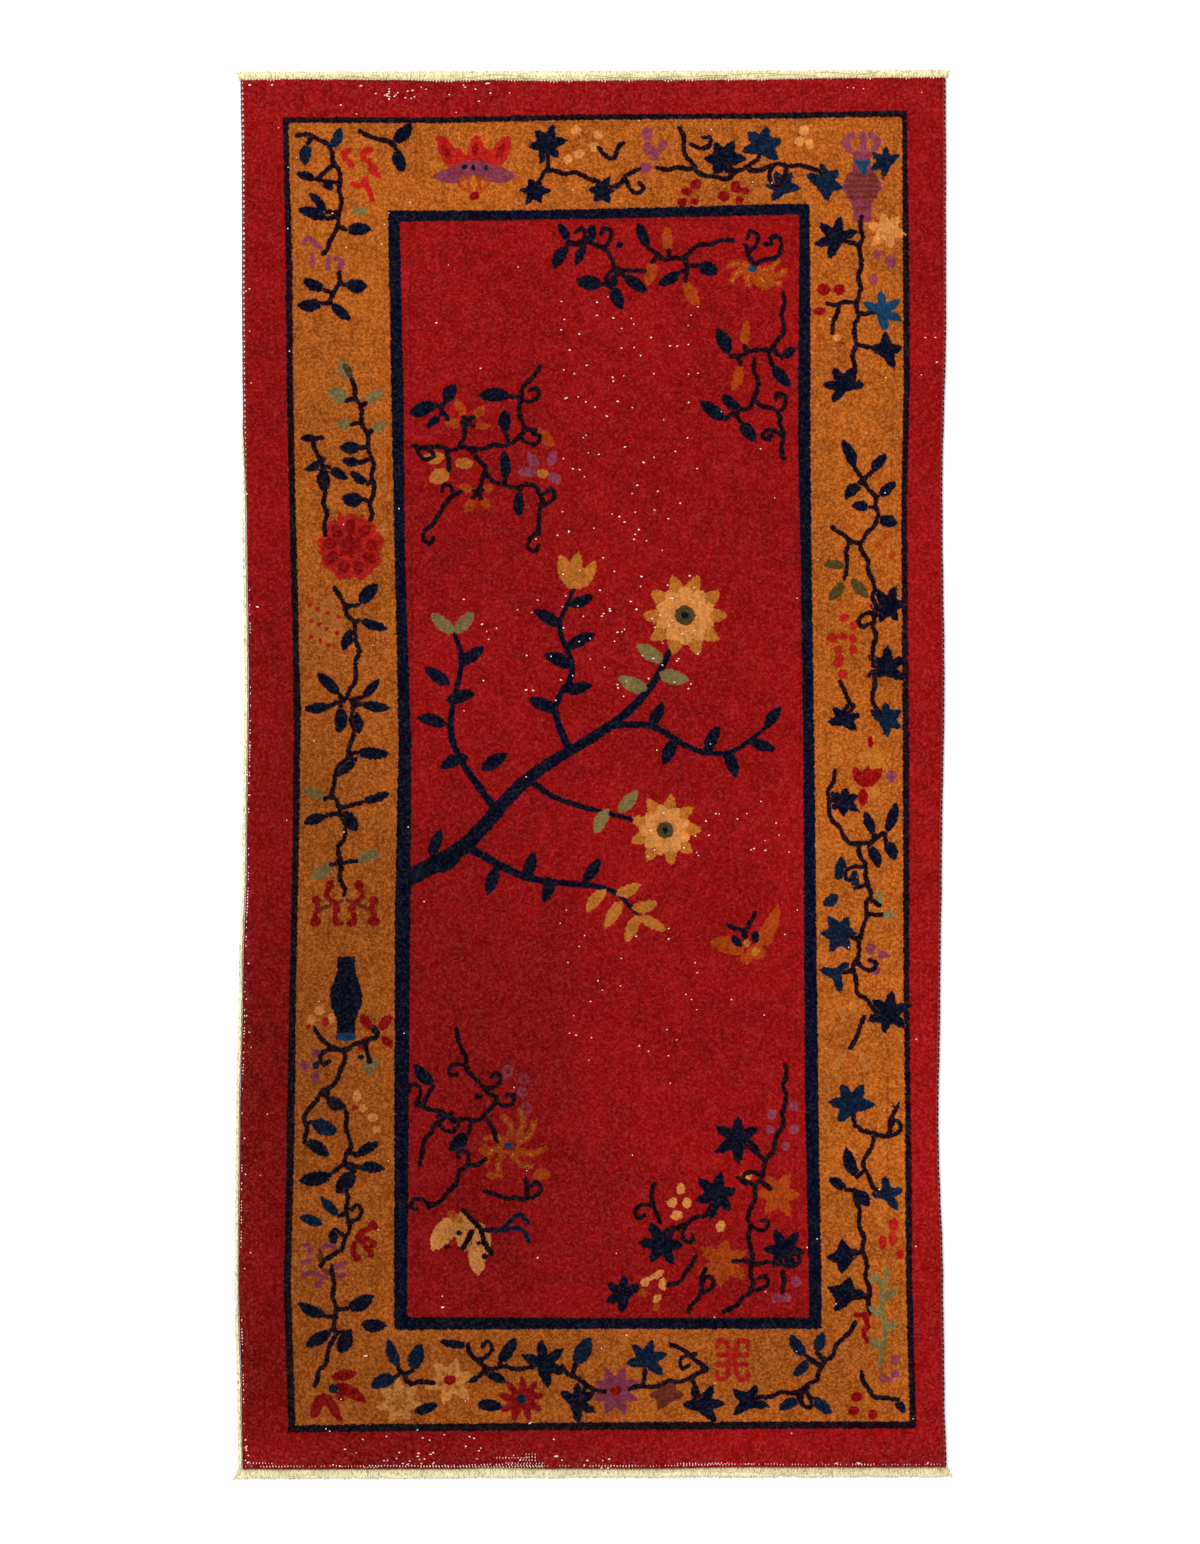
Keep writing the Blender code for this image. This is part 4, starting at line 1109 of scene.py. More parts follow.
class Knots:
    """Every knot of the rug: its corners and its tuft, with the wool that the chart gives."""

    def __init__(self, chance):
        rows, columns = grid(KNOTS_ALONG, KNOTS_ACROSS)
        tuft_rows, tuft_columns = rows[:-1, :-1] + 0.5, columns[:-1, :-1] + 0.5
        self.corner_number = np.arange(rows.size).reshape(rows.shape)
        self.tuft_number = rows.size + np.arange(tuft_rows.size).reshape(tuft_rows.shape)
        self.row = np.concatenate((rows.ravel(), tuft_rows.ravel()))
        self.column = np.concatenate((columns.ravel(), tuft_columns.ravel()))
        x, y = pile_point(self.column / KNOTS_ACROSS, self.row / KNOTS_ALONG)
        self.chart = drawn_chart(x / CM, y / CM)
        is_tuft = np.arange(len(x)) >= rows.size
        edge = np.minimum.reduce((self.column, KNOTS_ACROSS - self.column,
                                  self.row, KNOTS_ALONG - self.row))
        scatter = TUFT_SCATTER * chance.standard_normal(len(x)).clip(-2.0, 2.0)
        z = pile_height(x, y) + np.where(is_tuft, 0.0, -TUFT_RISE) + scatter
        z -= TUFT_DROP_AT_RIM * np.clip(1.0 - edge / RIM_KNOTS, 0.0, 1.0) ** 1.5
        z -= DARK_WOOL_LOSS * np.clip(self.chart.inside["navy"] / DARK_EDGE, 0.0, 1.0)
        inner = edge > 0.0
        x += np.where(inner, LEAN_OF_SCATTER * scatter[::-1], 0.0)
        y += np.where(inner, LEAN_OF_SCATTER * np.roll(scatter, 7), 0.0)
        self.points = np.column_stack((x, y, z))
        self.tone = patched(1.0, TONE_PATCHES, x / CM, y / CM)
        # How much more painted glint each place gets.
        self.pale = patched(0.0, GLINT_PATCHES, x / CM, y / CM)

def pile_part(name, knots, block, hole, skirt, material):
    """A closed piece of pile: its tufts, its cut sides and its flat underside.

    Skirt rows give how far each step of the cut side leans out and how high it lies.
    """
    low_row, high_row, low_column, high_column = block
    taken = np.zeros((KNOTS_ALONG, KNOTS_ACROSS), bool)
    taken[low_row:high_row, low_column:high_column] = True
    if hole:
        taken[hole[0]:hole[1], hole[2]:hole[3]] = False
    corner = knots.corner_number
    tuft = knots.tuft_number[taken]
    near_left, near_right = corner[:-1, :-1][taken], corner[:-1, 1:][taken]
    far_right, far_left = corner[1:, 1:][taken], corner[1:, :-1][taken]
    top = np.concatenate([np.column_stack((a, b, tuft)) for a, b in (
        (near_left, near_right), (near_right, far_right), (far_right, far_left), (far_left, near_left))])
    points, source = [knots.points], [np.arange(len(knots.points))]
    count = len(knots.points)
    middle = knots.points[:, :2].mean(axis=0)
    walls, wall_map, low_loops = [], [], []
    for place, edge in enumerate(filter(None, (block, hole))):
        sides = block_sides(corner, *edge)
        loop = np.concatenate(sides)
        if place:
            loop = loop[::-1]
        upper, rim = loop, knots.points[loop, :2]
        steps = skirt if place == 0 else skirt[-1:]
        outward = np.sign(rim - middle)
        outward *= np.abs((rim - middle) / (0.5 * np.ptp(rim, axis=0))) > ON_SIDE
        for step, (lean, height) in enumerate(steps):
            points.append(np.column_stack((rim + lean * outward, np.full(len(loop), height))))
            source.append(loop)
            lower = count + np.arange(len(loop))
            count += len(loop)
            walls.append(np.column_stack((lower, np.roll(lower, -1), np.roll(upper, -1), upper)))
            level = WALLS_START + 0.01 * place
            wall_map.append(wall_places(len(loop), level + 0.003 * (step + 1), level + 0.003 * step))
            upper = lower
        lengths = [len(side) for side in sides]
        low_loops.append((lower[::-1] if place else lower, lengths))
    underside = underside_faces(low_loops)
    points, source = np.vstack(points), np.concatenate(source)
    faces = [top, np.vstack(walls), *underside]
    used, faces = keep_used(faces, len(points))
    points, source = points[used], source[used]
    piece = link_mesh(name, points, faces, [material])
    if len(skirt) == 1:
        smooth = np.arange(len(piece.data.polygons)) < len(top)
        piece.data.polygons.foreach_set("use_smooth", smooth)
    numbers = corner_points(piece)
    add_map(piece, "knots", np.column_stack((knots.column[source], knots.row[source]))[numbers])
    add_bake_map(piece, points, top.size, np.concatenate(wall_map))
    add_wools(piece, knots.chart, source)
    add_values(piece, "tone", knots.tone[source])
    add_values(piece, "pale", knots.pale[source])
    return piece


def underside_faces(low_loops):
    """Flat faces that close a piece of pile from below: one for a block, four round a hole."""
    outer, outer_lengths = low_loops[0]
    if len(low_loops) == 1:
        return [outer[::-1][None, :]]
    inner, inner_lengths = low_loops[1]
    faces = []
    outer_start = inner_start = 0
    for outer_length, inner_length in zip(outer_lengths, inner_lengths):
        outer_side = outer[np.arange(outer_start, outer_start + outer_length + 1) % len(outer)]
        inner_side = inner[np.arange(inner_start, inner_start + inner_length + 1) % len(inner)]
        faces.append(np.concatenate((outer_side[::-1], inner_side))[None, :])
        outer_start += outer_length
        inner_start += inner_length
    return faces


def keep_used(faces, count):
    """The points that the faces use, and the faces with those points' new numbers."""
    used = np.zeros(count, bool)
    for batch in faces:
        used[batch] = True
    renumbered = np.cumsum(used) - 1
    return np.flatnonzero(used), [renumbered[batch] for batch in faces]


# ---- The ground cloth under the knots ----

BACK_CELLS_ACROSS = 116
BACK_CELLS_ALONG = 232
BACK_RIPPLE = 0.00008


def ground_cloth(material):
    """The closed cloth that the knots are tied on, whose back shows the design flatly."""
    rows, columns = grid(BACK_CELLS_ALONG, BACK_CELLS_ACROSS)
    x, y = pile_point(columns / BACK_CELLS_ACROSS, rows / BACK_CELLS_ALONG)
    ripple = BACK_RIPPLE * (1.0 + np.sin(1.9 * columns) * np.cos(2.3 * rows))
    below = np.column_stack((x.ravel(), y.ravel(), ripple.ravel()))
    number = np.arange(x.size).reshape(x.shape)
    bottom = quads(number[:, :-1], number[:, 1:], turned=True)
    loop = rim_of(number)
    rim = x.size + np.arange(len(loop))
    above = below[loop] * (1.0, 1.0, 0.0) + (0.0, 0.0, CLOTH_THICKNESS)
    walls = np.column_stack((loop, np.roll(loop, -1), np.roll(rim, -1), rim))
    points = np.vstack((below, above))
    piece = link_mesh("ground_cloth", points, [bottom, walls, rim[None, :]], [material])
    add_bake_map(piece, points, bottom.size, wall_places(len(loop), 0.95, 0.96))
    across = np.concatenate((columns.ravel(), columns.ravel()[loop])) * KNOTS_ACROSS / BACK_CELLS_ACROSS
    along = np.concatenate((rows.ravel(), rows.ravel()[loop])) * KNOTS_ALONG / BACK_CELLS_ALONG
    add_map(piece, "knots", np.column_stack((across, along))[corner_points(piece)])
    x, y = points[:, 0] / CM, points[:, 1] / CM
    add_wools(piece, drawn_chart(x, y))
    add_values(piece, "tone", patched(1.0, TONE_PATCHES, x, y))
    return piece


# ---- The overcast sides ----

PILE_SPAN = SIDE_SECTIONS[-1].along - SIDE_SECTIONS[0].along
WRAPS_PER_SIDE = 258
SIDE_FRAYS = 260
STEPS_PER_WRAP = 6
CORD_SIDES = 12
WRAP_BULGE = 0.30
CORD_RISE = 1.2
CORD_TUCK = 0.0010
CORD_WOBBLE = 0.00025
ABOVE_FLOOR = 0.00002

# Down the left side the wrapping has slipped off two strands of the cord: where that
# starts and is full, and the share of the cord's width that they take.
SPLIT_TOP = 0.46
SPLIT_FULL = 0.33
SPLIT_SHARE = 0.74

# How much of the cotton core shows between the turns, along the left side.
CoreSection = namedtuple("CoreSection", "along shown")
CORE_SECTIONS = [CoreSection(*row) for row in (
    (-0.90, 0.7), (-0.84, 0.6), (-0.30, 0.6), (0.10, 0.7), (0.30, 0.8), (0.55, 0.9),
    (0.75, 1.0), (0.90, 1.1),
)]
RIGHT_CORE_SHOWN = 0.12


def split_share(y):
    """The share of the left cord's width that lies bare beside it."""
    share = np.clip((SPLIT_TOP - y) / (SPLIT_TOP - SPLIT_FULL), 0.0, 1.0)
    return SPLIT_SHARE * share * share * (3.0 - 2.0 * share)


def overcast_cord(name, across, material, chance):
    """The cord down one side, wound with wool whose turns bulge between one another."""
    outward = -1.0 if across == 0.0 else 1.0
    steps = WRAPS_PER_SIDE * STEPS_PER_WRAP + 1
    along = np.linspace(0.0, 1.0, steps)
    edge_x, edge_y = pile_point(np.full(steps, across), along)
    share = split_share(edge_y) if outward < 0.0 else np.zeros(steps)
    radius = 0.5 * CORD_THICKNESS * (1.0 - share)
    wobble = random_wave(along, 90, -CORD_WOBBLE, CORD_WOBBLE, chance)
    turn = np.arange(CORD_SIDES) / CORD_SIDES
    wraps = along * WRAPS_PER_SIDE
    uneven = random_wave(wraps, WRAPS_PER_SIDE + 1, 0.86, 1.0, chance)
    phase = (wraps[:, None] + outward * turn[None, :]) % 1.0
    bulge = 1.0 - WRAP_BULGE * np.abs(2.0 * phase - 1.0) ** 2.5
    reach = radius[:, None] * bulge * uneven[:, None]
    angle = 2.0 * np.pi * turn[None, :]
    middle_x = edge_x + outward * (radius - CORD_TUCK) + wobble
    across_cord, up_cord = np.cos(angle), np.sin(angle)
    x = middle_x[:, None] + reach * np.sign(across_cord) * np.abs(across_cord) ** 0.8
    z = CORD_RISE * radius[:, None] + reach * np.sign(up_cord) * np.abs(up_cord) ** 0.7
    z = np.maximum(z, ABOVE_FLOOR)
    y = np.repeat(edge_y[:, None], CORD_SIDES, axis=1)
    points = np.stack((x, y, z), axis=-1).reshape(-1, 3)
    number = np.arange(steps * CORD_SIDES).reshape(steps, CORD_SIDES)
    sides = quads(number, np.roll(number, -1, axis=1), turned=True)
    piece = link_mesh(name, points, [sides, number[:1], number[-1:, ::-1]], [material])
    numbers = corner_points(piece)
    round_way = np.tile(turn, steps)[numbers]
    last = round_way[:sides.size].reshape(-1, 4)
    last[:, 2:] = np.where(last[:, 2:] < last[:, :2], 1.0, last[:, 2:])
    if outward > 0.0:
        round_way = (0.5 - round_way) % 1.0001
    add_map(piece, "wraps", np.column_stack((round_way, np.repeat(wraps, CORD_SIDES)[numbers])))
    shown = smooth_values(edge_y, *zip(*CORE_SECTIONS)) if outward < 0.0 else RIGHT_CORE_SHOWN
    shown = shown * random_wave(wraps, WRAPS_PER_SIDE + 1, 0.6, 1.2, chance)
    add_values(piece, "core_shown", np.repeat(shown, CORD_SIDES))
    return piece


# The bare strands: how far each lies from the outer line, and the length of one twist.
STRANDS_ASIDE = (0.0006, 0.0015, 0.0025, 0.0034)
STRAND_TWIST = 0.012
STRAND_STRAY = 0.0004
# Their frays: the shortest and the longest, and how thick each is at its root.
FRAY_LENGTHS = (0.0015, 0.0035)
FRAY_RADIUS = 0.00032


def bare_side_warps(material, chance):
    """Cotton strands that lie bare beside the left cord, where its wool is gone, and their frays."""
    strands = Strands(6)
    along = np.linspace(0.0, (SPLIT_TOP + 0.90) / 1.80, 900)
    edge_x, edge_y = pile_point(np.zeros_like(along), along)
    room = split_share(edge_y) / SPLIT_SHARE
    outer = edge_x - CORD_THICKNESS - FIT_GAP
    for number, aside in enumerate(STRANDS_ASIDE):
        turn = 2.0 * np.pi * edge_y / STRAND_TWIST + 2.1 * number
        stray = random_wave(along, 90, -STRAND_STRAY, STRAND_STRAY, chance)
        x = outer + aside * (0.35 + 0.65 * room) + 0.0003 * np.cos(turn) + stray
        z = 0.0012 + 0.0007 * number + 0.0004 * np.sin(turn)
        strands.add(x, edge_y, z, 0.00040 + 0.00045 * room)
    t = np.linspace(0.0, 1.0, 4)
    for place in np.sort(chance.integers(5, 820, SIDE_FRAYS)):
        length = chance.uniform(*FRAY_LENGTHS)
        lean = chance.uniform(-1.0, 1.0)
        x = outer[place] + 0.0008 - 0.6 * length * t + 0.0004 * t * t
        y = edge_y[place] + lean * length * t ** 1.5
        z = 0.0014 - 0.0009 * t
        strands.add(x, y, z, FRAY_RADIUS * (1.0 - 0.6 * t))
    return strands.link("bare_side_warps", material)


# ---- The cotton ends ----

WEB_CELLS = 464
WEB_ROWS = 8
SIDE_REACH = (CORD_THICKNESS + FIT_GAP) / 0.908
TIP_MARGIN = 0.0006
TIP_LEAN = 0.003
WEB_SHARE = 0.90
WEB_RUMPLE = 0.0007
WEB_UNDERSIDE = 0.0001
WEFT_RADIUS = 0.00055
WEFT_STEPS = 28
END_SPLAY = 0.005

# The rounds of frayed yarns at each end: how many, where they start and stop as shares
# of the way from the pile to the tip, how thick they are and how much they stray.
YarnRound = namedtuple("YarnRound", "count start stop radius stray height")
YARN_ROUNDS = [YarnRound(*row) for row in (
    (460, (0.02, 0.10), (0.78, 0.96), 0.00068, 0.0006, 0.0020),
    (420, (0.25, 0.50), (0.84, 1.00), 0.00052, 0.0012, 0.0016),
    (300, (0.30, 0.70), (0.80, 1.03), 0.00034, 0.0020, 0.0012),
)]

# Long loose wefts that lie along the ends: the middle of each and half its length.
LooseWeft = namedtuple("LooseWeft", "middle half")
TOP_WEFTS = [LooseWeft(*row) for row in (
    (-0.12, 0.06), (-0.13, 0.04), (0.045, 0.045), (0.04, 0.03), (0.055, 0.05), (0.12, 0.05),
    (0.14, 0.04), (0.20, 0.05), (0.25, 0.04), (-0.30, 0.03), (0.33, 0.04), (0.02, 0.03),
)]
BOTTOM_WEFTS = [LooseWeft(*row) for row in (
    (0.15, 0.06), (0.24, 0.07), (0.33, 0.05), (-0.38, 0.03), (-0.02, 0.03),
)]


def end_edge(across, outward):
    """The line where the pile stops at one end."""
    return pile_point(across, np.full_like(across, 1.0 if outward > 0.0 else 0.0))


def end_tip(x, outward):
    """How far out the cut ends of the warps reach, at places across one end."""
    return 0.5 * RUG_LENGTH - TIP_MARGIN + outward * TIP_LEAN * x


def woven_web(name, outward, material, chance):
    """The flat-woven strip past the pile, whose yarns pass over and under one another."""
    across = np.linspace(-SIDE_REACH, 1.0 + SIDE_REACH, WEB_CELLS + 1)
    x, edge = end_edge(across, outward)
    share = np.linspace(0.0, 1.0, WEB_ROWS + 1)[:, None]
    uneven = random_wave(across, 70, 0.78, 1.0, chance)
    depth = WEB_SHARE * (end_tip(x, outward) - np.abs(edge))
    y = edge + outward * (FIT_GAP + depth * uneven * share)
    over = (np.cos(np.pi * np.arange(WEB_CELLS + 1))[None, :]
            * np.cos(np.pi * np.arange(WEB_ROWS + 1))[:, None])
    rumple = random_wave(across, 160, 0.0, WEB_RUMPLE, chance)
    z = WEB_THICKNESS * (0.72 + 0.16 * over) + rumple * np.sin(np.pi * share)
    z[-1] *= 0.6
    rows, columns = z.shape
    above = np.column_stack((np.tile(x, rows), y.ravel(), z.ravel()))
    number = np.arange(rows * columns).reshape(rows, columns)
    top = quads(number[:, :-1], number[:, 1:])
    loop = rim_of(number)
    below = above[loop] * (1.0, 1.0, 0.0) + (0.0, 0.0, WEB_UNDERSIDE)
    low = rows * columns + np.arange(len(loop))
    walls = np.column_stack((low, np.roll(low, -1), np.roll(loop, -1), loop))
    under = low[None, ::-1]
    if outward < 0.0:
        top, walls, under = top[:, ::-1], walls[:, ::-1], under[:, ::-1]
    return link_mesh(name, np.vstack((above, below)), [top, walls, under], [material])


def frayed_yarns(name, outward, wefts, material, chance):
    """Cut warp ends past the web, in rounds that get finer, and loose wefts over them."""
    strands = Strands(4)
    t = np.linspace(0.0, 1.0, 5)
    for layer in YARN_ROUNDS:
        across = np.linspace(-SIDE_REACH, 1.0 + SIDE_REACH, layer.count)
        across += chance.uniform(-0.4, 0.4, layer.count) / layer.count
        x, edge = end_edge(across, outward)
        room = end_tip(x, outward) - np.abs(edge)
        splay = END_SPLAY * (np.clip((across - 0.985) / 0.02, 0.0, 1.0)
                             - np.clip((0.015 - across) / 0.02, 0.0, 1.0))
        start = room * chance.uniform(*layer.start, layer.count)
        stop = room * chance.uniform(*layer.stop, layer.count)
        thickness = layer.radius * chance.uniform(0.75, 1.2, layer.count)
        drift = layer.stray * chance.standard_normal(layer.count).clip(-2.0, 2.0)
        for number in range(layer.count):
            aside = (splay[number] + drift[number]) * t ** 1.4 + 0.0003 * np.sin(7.0 * t + number)
            out = np.abs(edge[number]) + start[number] + (stop[number] - start[number]) * t
            height = thickness[number] + layer.height * (1.0 - 0.75 * t)
            strands.add(x[number] + aside, outward * out, height, thickness[number] * (1.0 - 0.6 * t ** 2))
    for number, weft in enumerate(wefts):
        s = np.linspace(-1.0, 1.0, WEFT_STEPS)
        across = 0.5 + (weft.middle + weft.half * s) / 0.91
        x, edge = end_edge(across, outward)
        depth = WEB_DEPTH * (0.3 + 0.65 * chance.random() + 0.14 * np.sin(3.0 * s + number))
        height = WEB_THICKNESS + 0.0012 + 0.0003 * np.sin(5.0 * s + number)
        strands.add(x, edge + outward * (FIT_GAP + depth), height, np.full(WEFT_STEPS, WEFT_RADIUS))
    return strands.link(name, material)


# Where the warps show most between the last knots of the bottom end, in metres.
ClearWarps = namedtuple("ClearWarps", "first last")
CLEAR_WARPS = [ClearWarps(*row) for row in (
    (-0.43, -0.37), (-0.30, -0.06), (0.00, 0.06), (0.11, 0.19), (0.33, 0.37),
)]
# The share of warps that show there and elsewhere, their least and greatest length and
# radius, how far in from the edge they lie and how deep in the pile.
CLEAR_SHOWN, OTHERS_SHOWN = 0.9, 0.62
WARP_LENGTHS = (0.0016, 0.0032)
WARP_RADII = (0.00048, 0.00068)
WARP_INSET = 0.0036
WARP_SINK = 0.0011


def bottom_end_warps(material, chance):
    """The warps that show between the last knots of the bottom end, one beside each knot."""
    strands = Strands(6)
    columns = np.arange(1, KNOTS_ACROSS)
    x, edge = end_edge(columns / KNOTS_ACROSS, -1.0)
    t = np.linspace(-1.0, 1.0, 5)
    swell = np.sqrt(1.05 - t * t)
    for place, low in zip(x, edge):
        clear = any(span.first < place < span.last for span in CLEAR_WARPS)
        if chance.random() > (CLEAR_SHOWN if clear else OTHERS_SHOWN):
            continue
        length = chance.uniform(*WARP_LENGTHS) * (1.0 if clear else 0.8)
        middle = low + WARP_INSET + chance.uniform(-0.0006, 0.0006)
        y = middle + 0.5 * length * t
        height = pile_height(np.full_like(y, place), y) - WARP_SINK + 0.0003 * swell
        radius = chance.uniform(*WARP_RADII) * (1.0 if clear else 0.75)
        strands.add(place, y, height, radius * swell)
    return strands.link("bare_warps_bottom", material)


# Where the top web's cotton bites in among the last knots, in metres.
TOP_BITES = (-0.414, -0.344, -0.20, -0.185, -0.16, -0.10, -0.048, -0.027, 0.016, 0.048, 0.10, 0.128,
             0.18, 0.222, 0.27, 0.31, 0.36, 0.41, 0.442)
BITE_DEPTH = 0.0022
BITE_REACH = 0.005
BITE_RISE = 0.0050
BITE_RADII = (0.0006, 0.0010)


def top_end_warps(material, chance):
    """Nubs of the top web that reach in among the last knots."""
    strands = Strands(6)
    columns = np.arange(1, KNOTS_ACROSS)
    x, edge = end_edge(columns / KNOTS_ACROSS, 1.0)
    t = np.linspace(0.0, 1.0, 5)
    swell = ellipse_swell(2.0 * t - 1.0, 0.04)
    for place, high in zip(x, edge):
        near = min(abs(place - bite) for bite in TOP_BITES)
        bite = BITE_DEPTH * math.exp(-(near / BITE_REACH) ** 2) + chance.uniform(-0.0008, 0.0008)
        y = high + BITE_DEPTH - (BITE_DEPTH + bite) * (1.0 - t)
        rise = CLOTH_THICKNESS + BITE_RISE * np.clip((1.0 - t) * 1.6, 0.0, 1.0)
        strands.add(place, y, rise, chance.uniform(*BITE_RADII) * swell)
    return strands.link("bare_warps_top", material)


# ---- Cotton that shows where knots have worn away ----

# Single places, in cm, read from the rug: where each is and how long its cotton is.
BARE_PLACES = (
    (-44.2, 89.3, 0.45), (-41.3, 89.3, 0.4), (-29.8, 89.2, 0.45), (-32.4, 86.7, 0.35), (-13.4, 89.5, 0.75),
    (43.3, 56.6, 0.3), (44.6, 56.6, 0.35), (44.8, 53.4, 0.4), (-43.2, 21.7, 0.5), (-29.2, -75.3, 0.6),
    (-19.2, -69, 0.5), (-20, 58.5, 0.35), (-14.3, 52.6, 0.3), (4.6, -72.6, 0.4), (-7.9, -84, 0.5),
    (-4.5, -88.3, 0.65), (31.8, -89.2, 0.5), (34.7, -89.2, 0.7),
)

# Places where the bare spots gather: middle, reach, how many and how long the longest is.
BareCluster = namedtuple("BareCluster", "x y across along count longest")
BARE_CLUSTERS = [BareCluster(*row) for row in (
    (-22, 87.3, 9, 1.8, 8, 0.4),
    (-25.4, 88.2, 2.8, 1.2, 14, 0.45),
    (-16, 88.6, 5.5, 0.7, 6, 0.4),
    (38, 88.9, 6, 0.7, 4, 0.3),
    (-44.6, -87.8, 0.3, 1.7, 8, 0.42),
    (1.6, -89, 2.6, 0.9, 6, 0.45),
    (-33, -89.5, 0.8, 0.1, 2, 0.35),
    (43.8, -89.2, 0.5, 0.1, 3, 0.2),
    (5, 36, 9, 26, 105, 0.42),
    (-2, 20, 16, 12, 34, 0.4),
    (16, -8, 10, 3.5, 20, 0.36),
    (5, -28, 9, 9, 24, 0.36),
    (-23.5, -88.6, 3.5, 0.8, 13, 0.45),
    (-27, -87.0, 7, 2.2, 10, 0.4),
    (-12, -87.5, 10, 2.0, 12, 0.35),
    (-44.5, 0, 0.5, 70, 26, 0.3),
    (0, 0, 43, 86, 90, 0.25),
)]

# Warps that show between knots, in cm: rows along the bottom end, then a row up the left side.
DotRow = namedtuple("DotRow", "first last y")
DOT_ROWS = [DotRow(*row) for row in (
    (11.2, 13.8, -89.25), (15.3, 17.8, -89.2), (2.6, 6.0, -89.55), (20.0, 21.4, -89.3),
    (-44.5, -41.1, -89.2), (-29.3, -27.6, -89.75), (-12.2, -8.2, -88.5), (-8.4, -7.0, -88.0),
    (-8.4, -7.0, -88.4), (-9.2, -7.0, -88.8), (-11.0, -6.2, -89.2), (-22.0, -6.0, -89.65),
)]
DOT_PITCH = 0.394
SIDE_DOTS_FIRST, SIDE_DOTS_LAST = -88.0, 24.0
SIDE_DOTS_INSET = 0.26

# The least and greatest radius of the nubs and of the dots, half the dots' length, and how
# deep both lie in the pile, in metres.
NUB_RADII = (0.0007, 0.0011)
DOT_RADII = (0.0004, 0.0007)
DOT_HALVES = (0.0008, 0.0014)
NUB_SINK = 0.0004
DOT_SINK = 0.0007


def bare_cotton(material, chance):
    """Small nubs of warp and weft that show through the pile."""
    strands = Strands(6)
    places = list(BARE_PLACES)
    for cluster in BARE_CLUSTERS:
        for _ in range(cluster.count):
            places.append((cluster.x + cluster.across * chance.uniform(-1.0, 1.0),
                           cluster.y + cluster.along * chance.uniform(-1.0, 1.0),
                           cluster.longest * chance.uniform(0.35, 1.0)))
    dots = [(x, row.y + 0.03 * math.sin(9.0 * x)) for row in DOT_ROWS
            for x in np.arange(row.first, row.last, DOT_PITCH)]
    side_y = np.arange(SIDE_DOTS_FIRST, SIDE_DOTS_LAST, DOT_PITCH)
    side_x, _ = pile_point(np.zeros_like(side_y), (side_y * CM - SIDE_SECTIONS[0].along) / PILE_SPAN)
    dots += [(x / CM + SIDE_DOTS_INSET, y) for x, y in zip(side_x, side_y)
             if chance.random() < 0.30 + 0.35 * math.sin(0.31 * y) + 0.15 * math.sin(1.1 * y)]
    t = np.linspace(-1.0, 1.0, 6)
    swell = ellipse_swell(t, 0.06)
    for x, y, length in places:
        lean = chance.uniform(-0.5, 0.5)
        half = 0.46 * length * CM
        line_x = x * CM + half * t * math.cos(lean)
        line_y = y * CM + half * t * math.sin(lean)
        height = pile_height(line_x, line_y) - NUB_SINK - 0.0004 * t * t
        strands.add(line_x, line_y, height, chance.uniform(*NUB_RADII) * swell)
    for x, y in dots:
        line_y = y * CM + chance.uniform(*DOT_HALVES) * t
        line_x = np.full_like(t, x * CM + chance.uniform(-0.0002, 0.0002))
        height = pile_height(line_x, line_y) - DOT_SINK + 0.0002 * swell
        strands.add(line_x, line_y, height, chance.uniform(*DOT_RADII) * swell)
    return strands.link("bare_cotton", material)


# ---- Finishes ----

# How far the wools spread past their drawn edges, in cm, so that no gap shows between
# them: the border's gold runs on under all the others, and the darkest lie on top.
UNDERLAP = 0.40
PALE_SPREAD = 0.09
DARK_SPREAD = 0.03
# The two shades that the border's gold is mottled with.
DARK_GOLD = dye(162, 78, 26)
PALE_GOLD = dye(174, 95, 33)
DARK_WOOLS = ("black", "navy", "blue", "teal")
EDGE_SOFTNESS = 0.045

# Cotton, its shadows, the weft on the back, and the core between the turns of a cord.
CREAM, CREAM_SHADOW = (0.82, 0.73, 0.46), (0.34, 0.29, 0.12)
BARE, BARE_SHADOW = (0.95, 0.74, 0.64), (0.45, 0.18, 0.14)
WEFT_COLOUR = (0.42, 0.33, 0.20)
CORE_COLOUR = (0.68, 0.50, 0.42)
FLOOR_COLOUR = (0.92, 0.92, 0.92)

# Round an overcast cord, as shares of one turn: where the painted shade on its outer side starts and is full,
# and where the beads of its core lie. A bead's length is a share of the pitch.
OUTER_SHADE = (0.20, 0.33)
BEAD_PLACE = 0.23
BEAD_LENGTH = 0.26


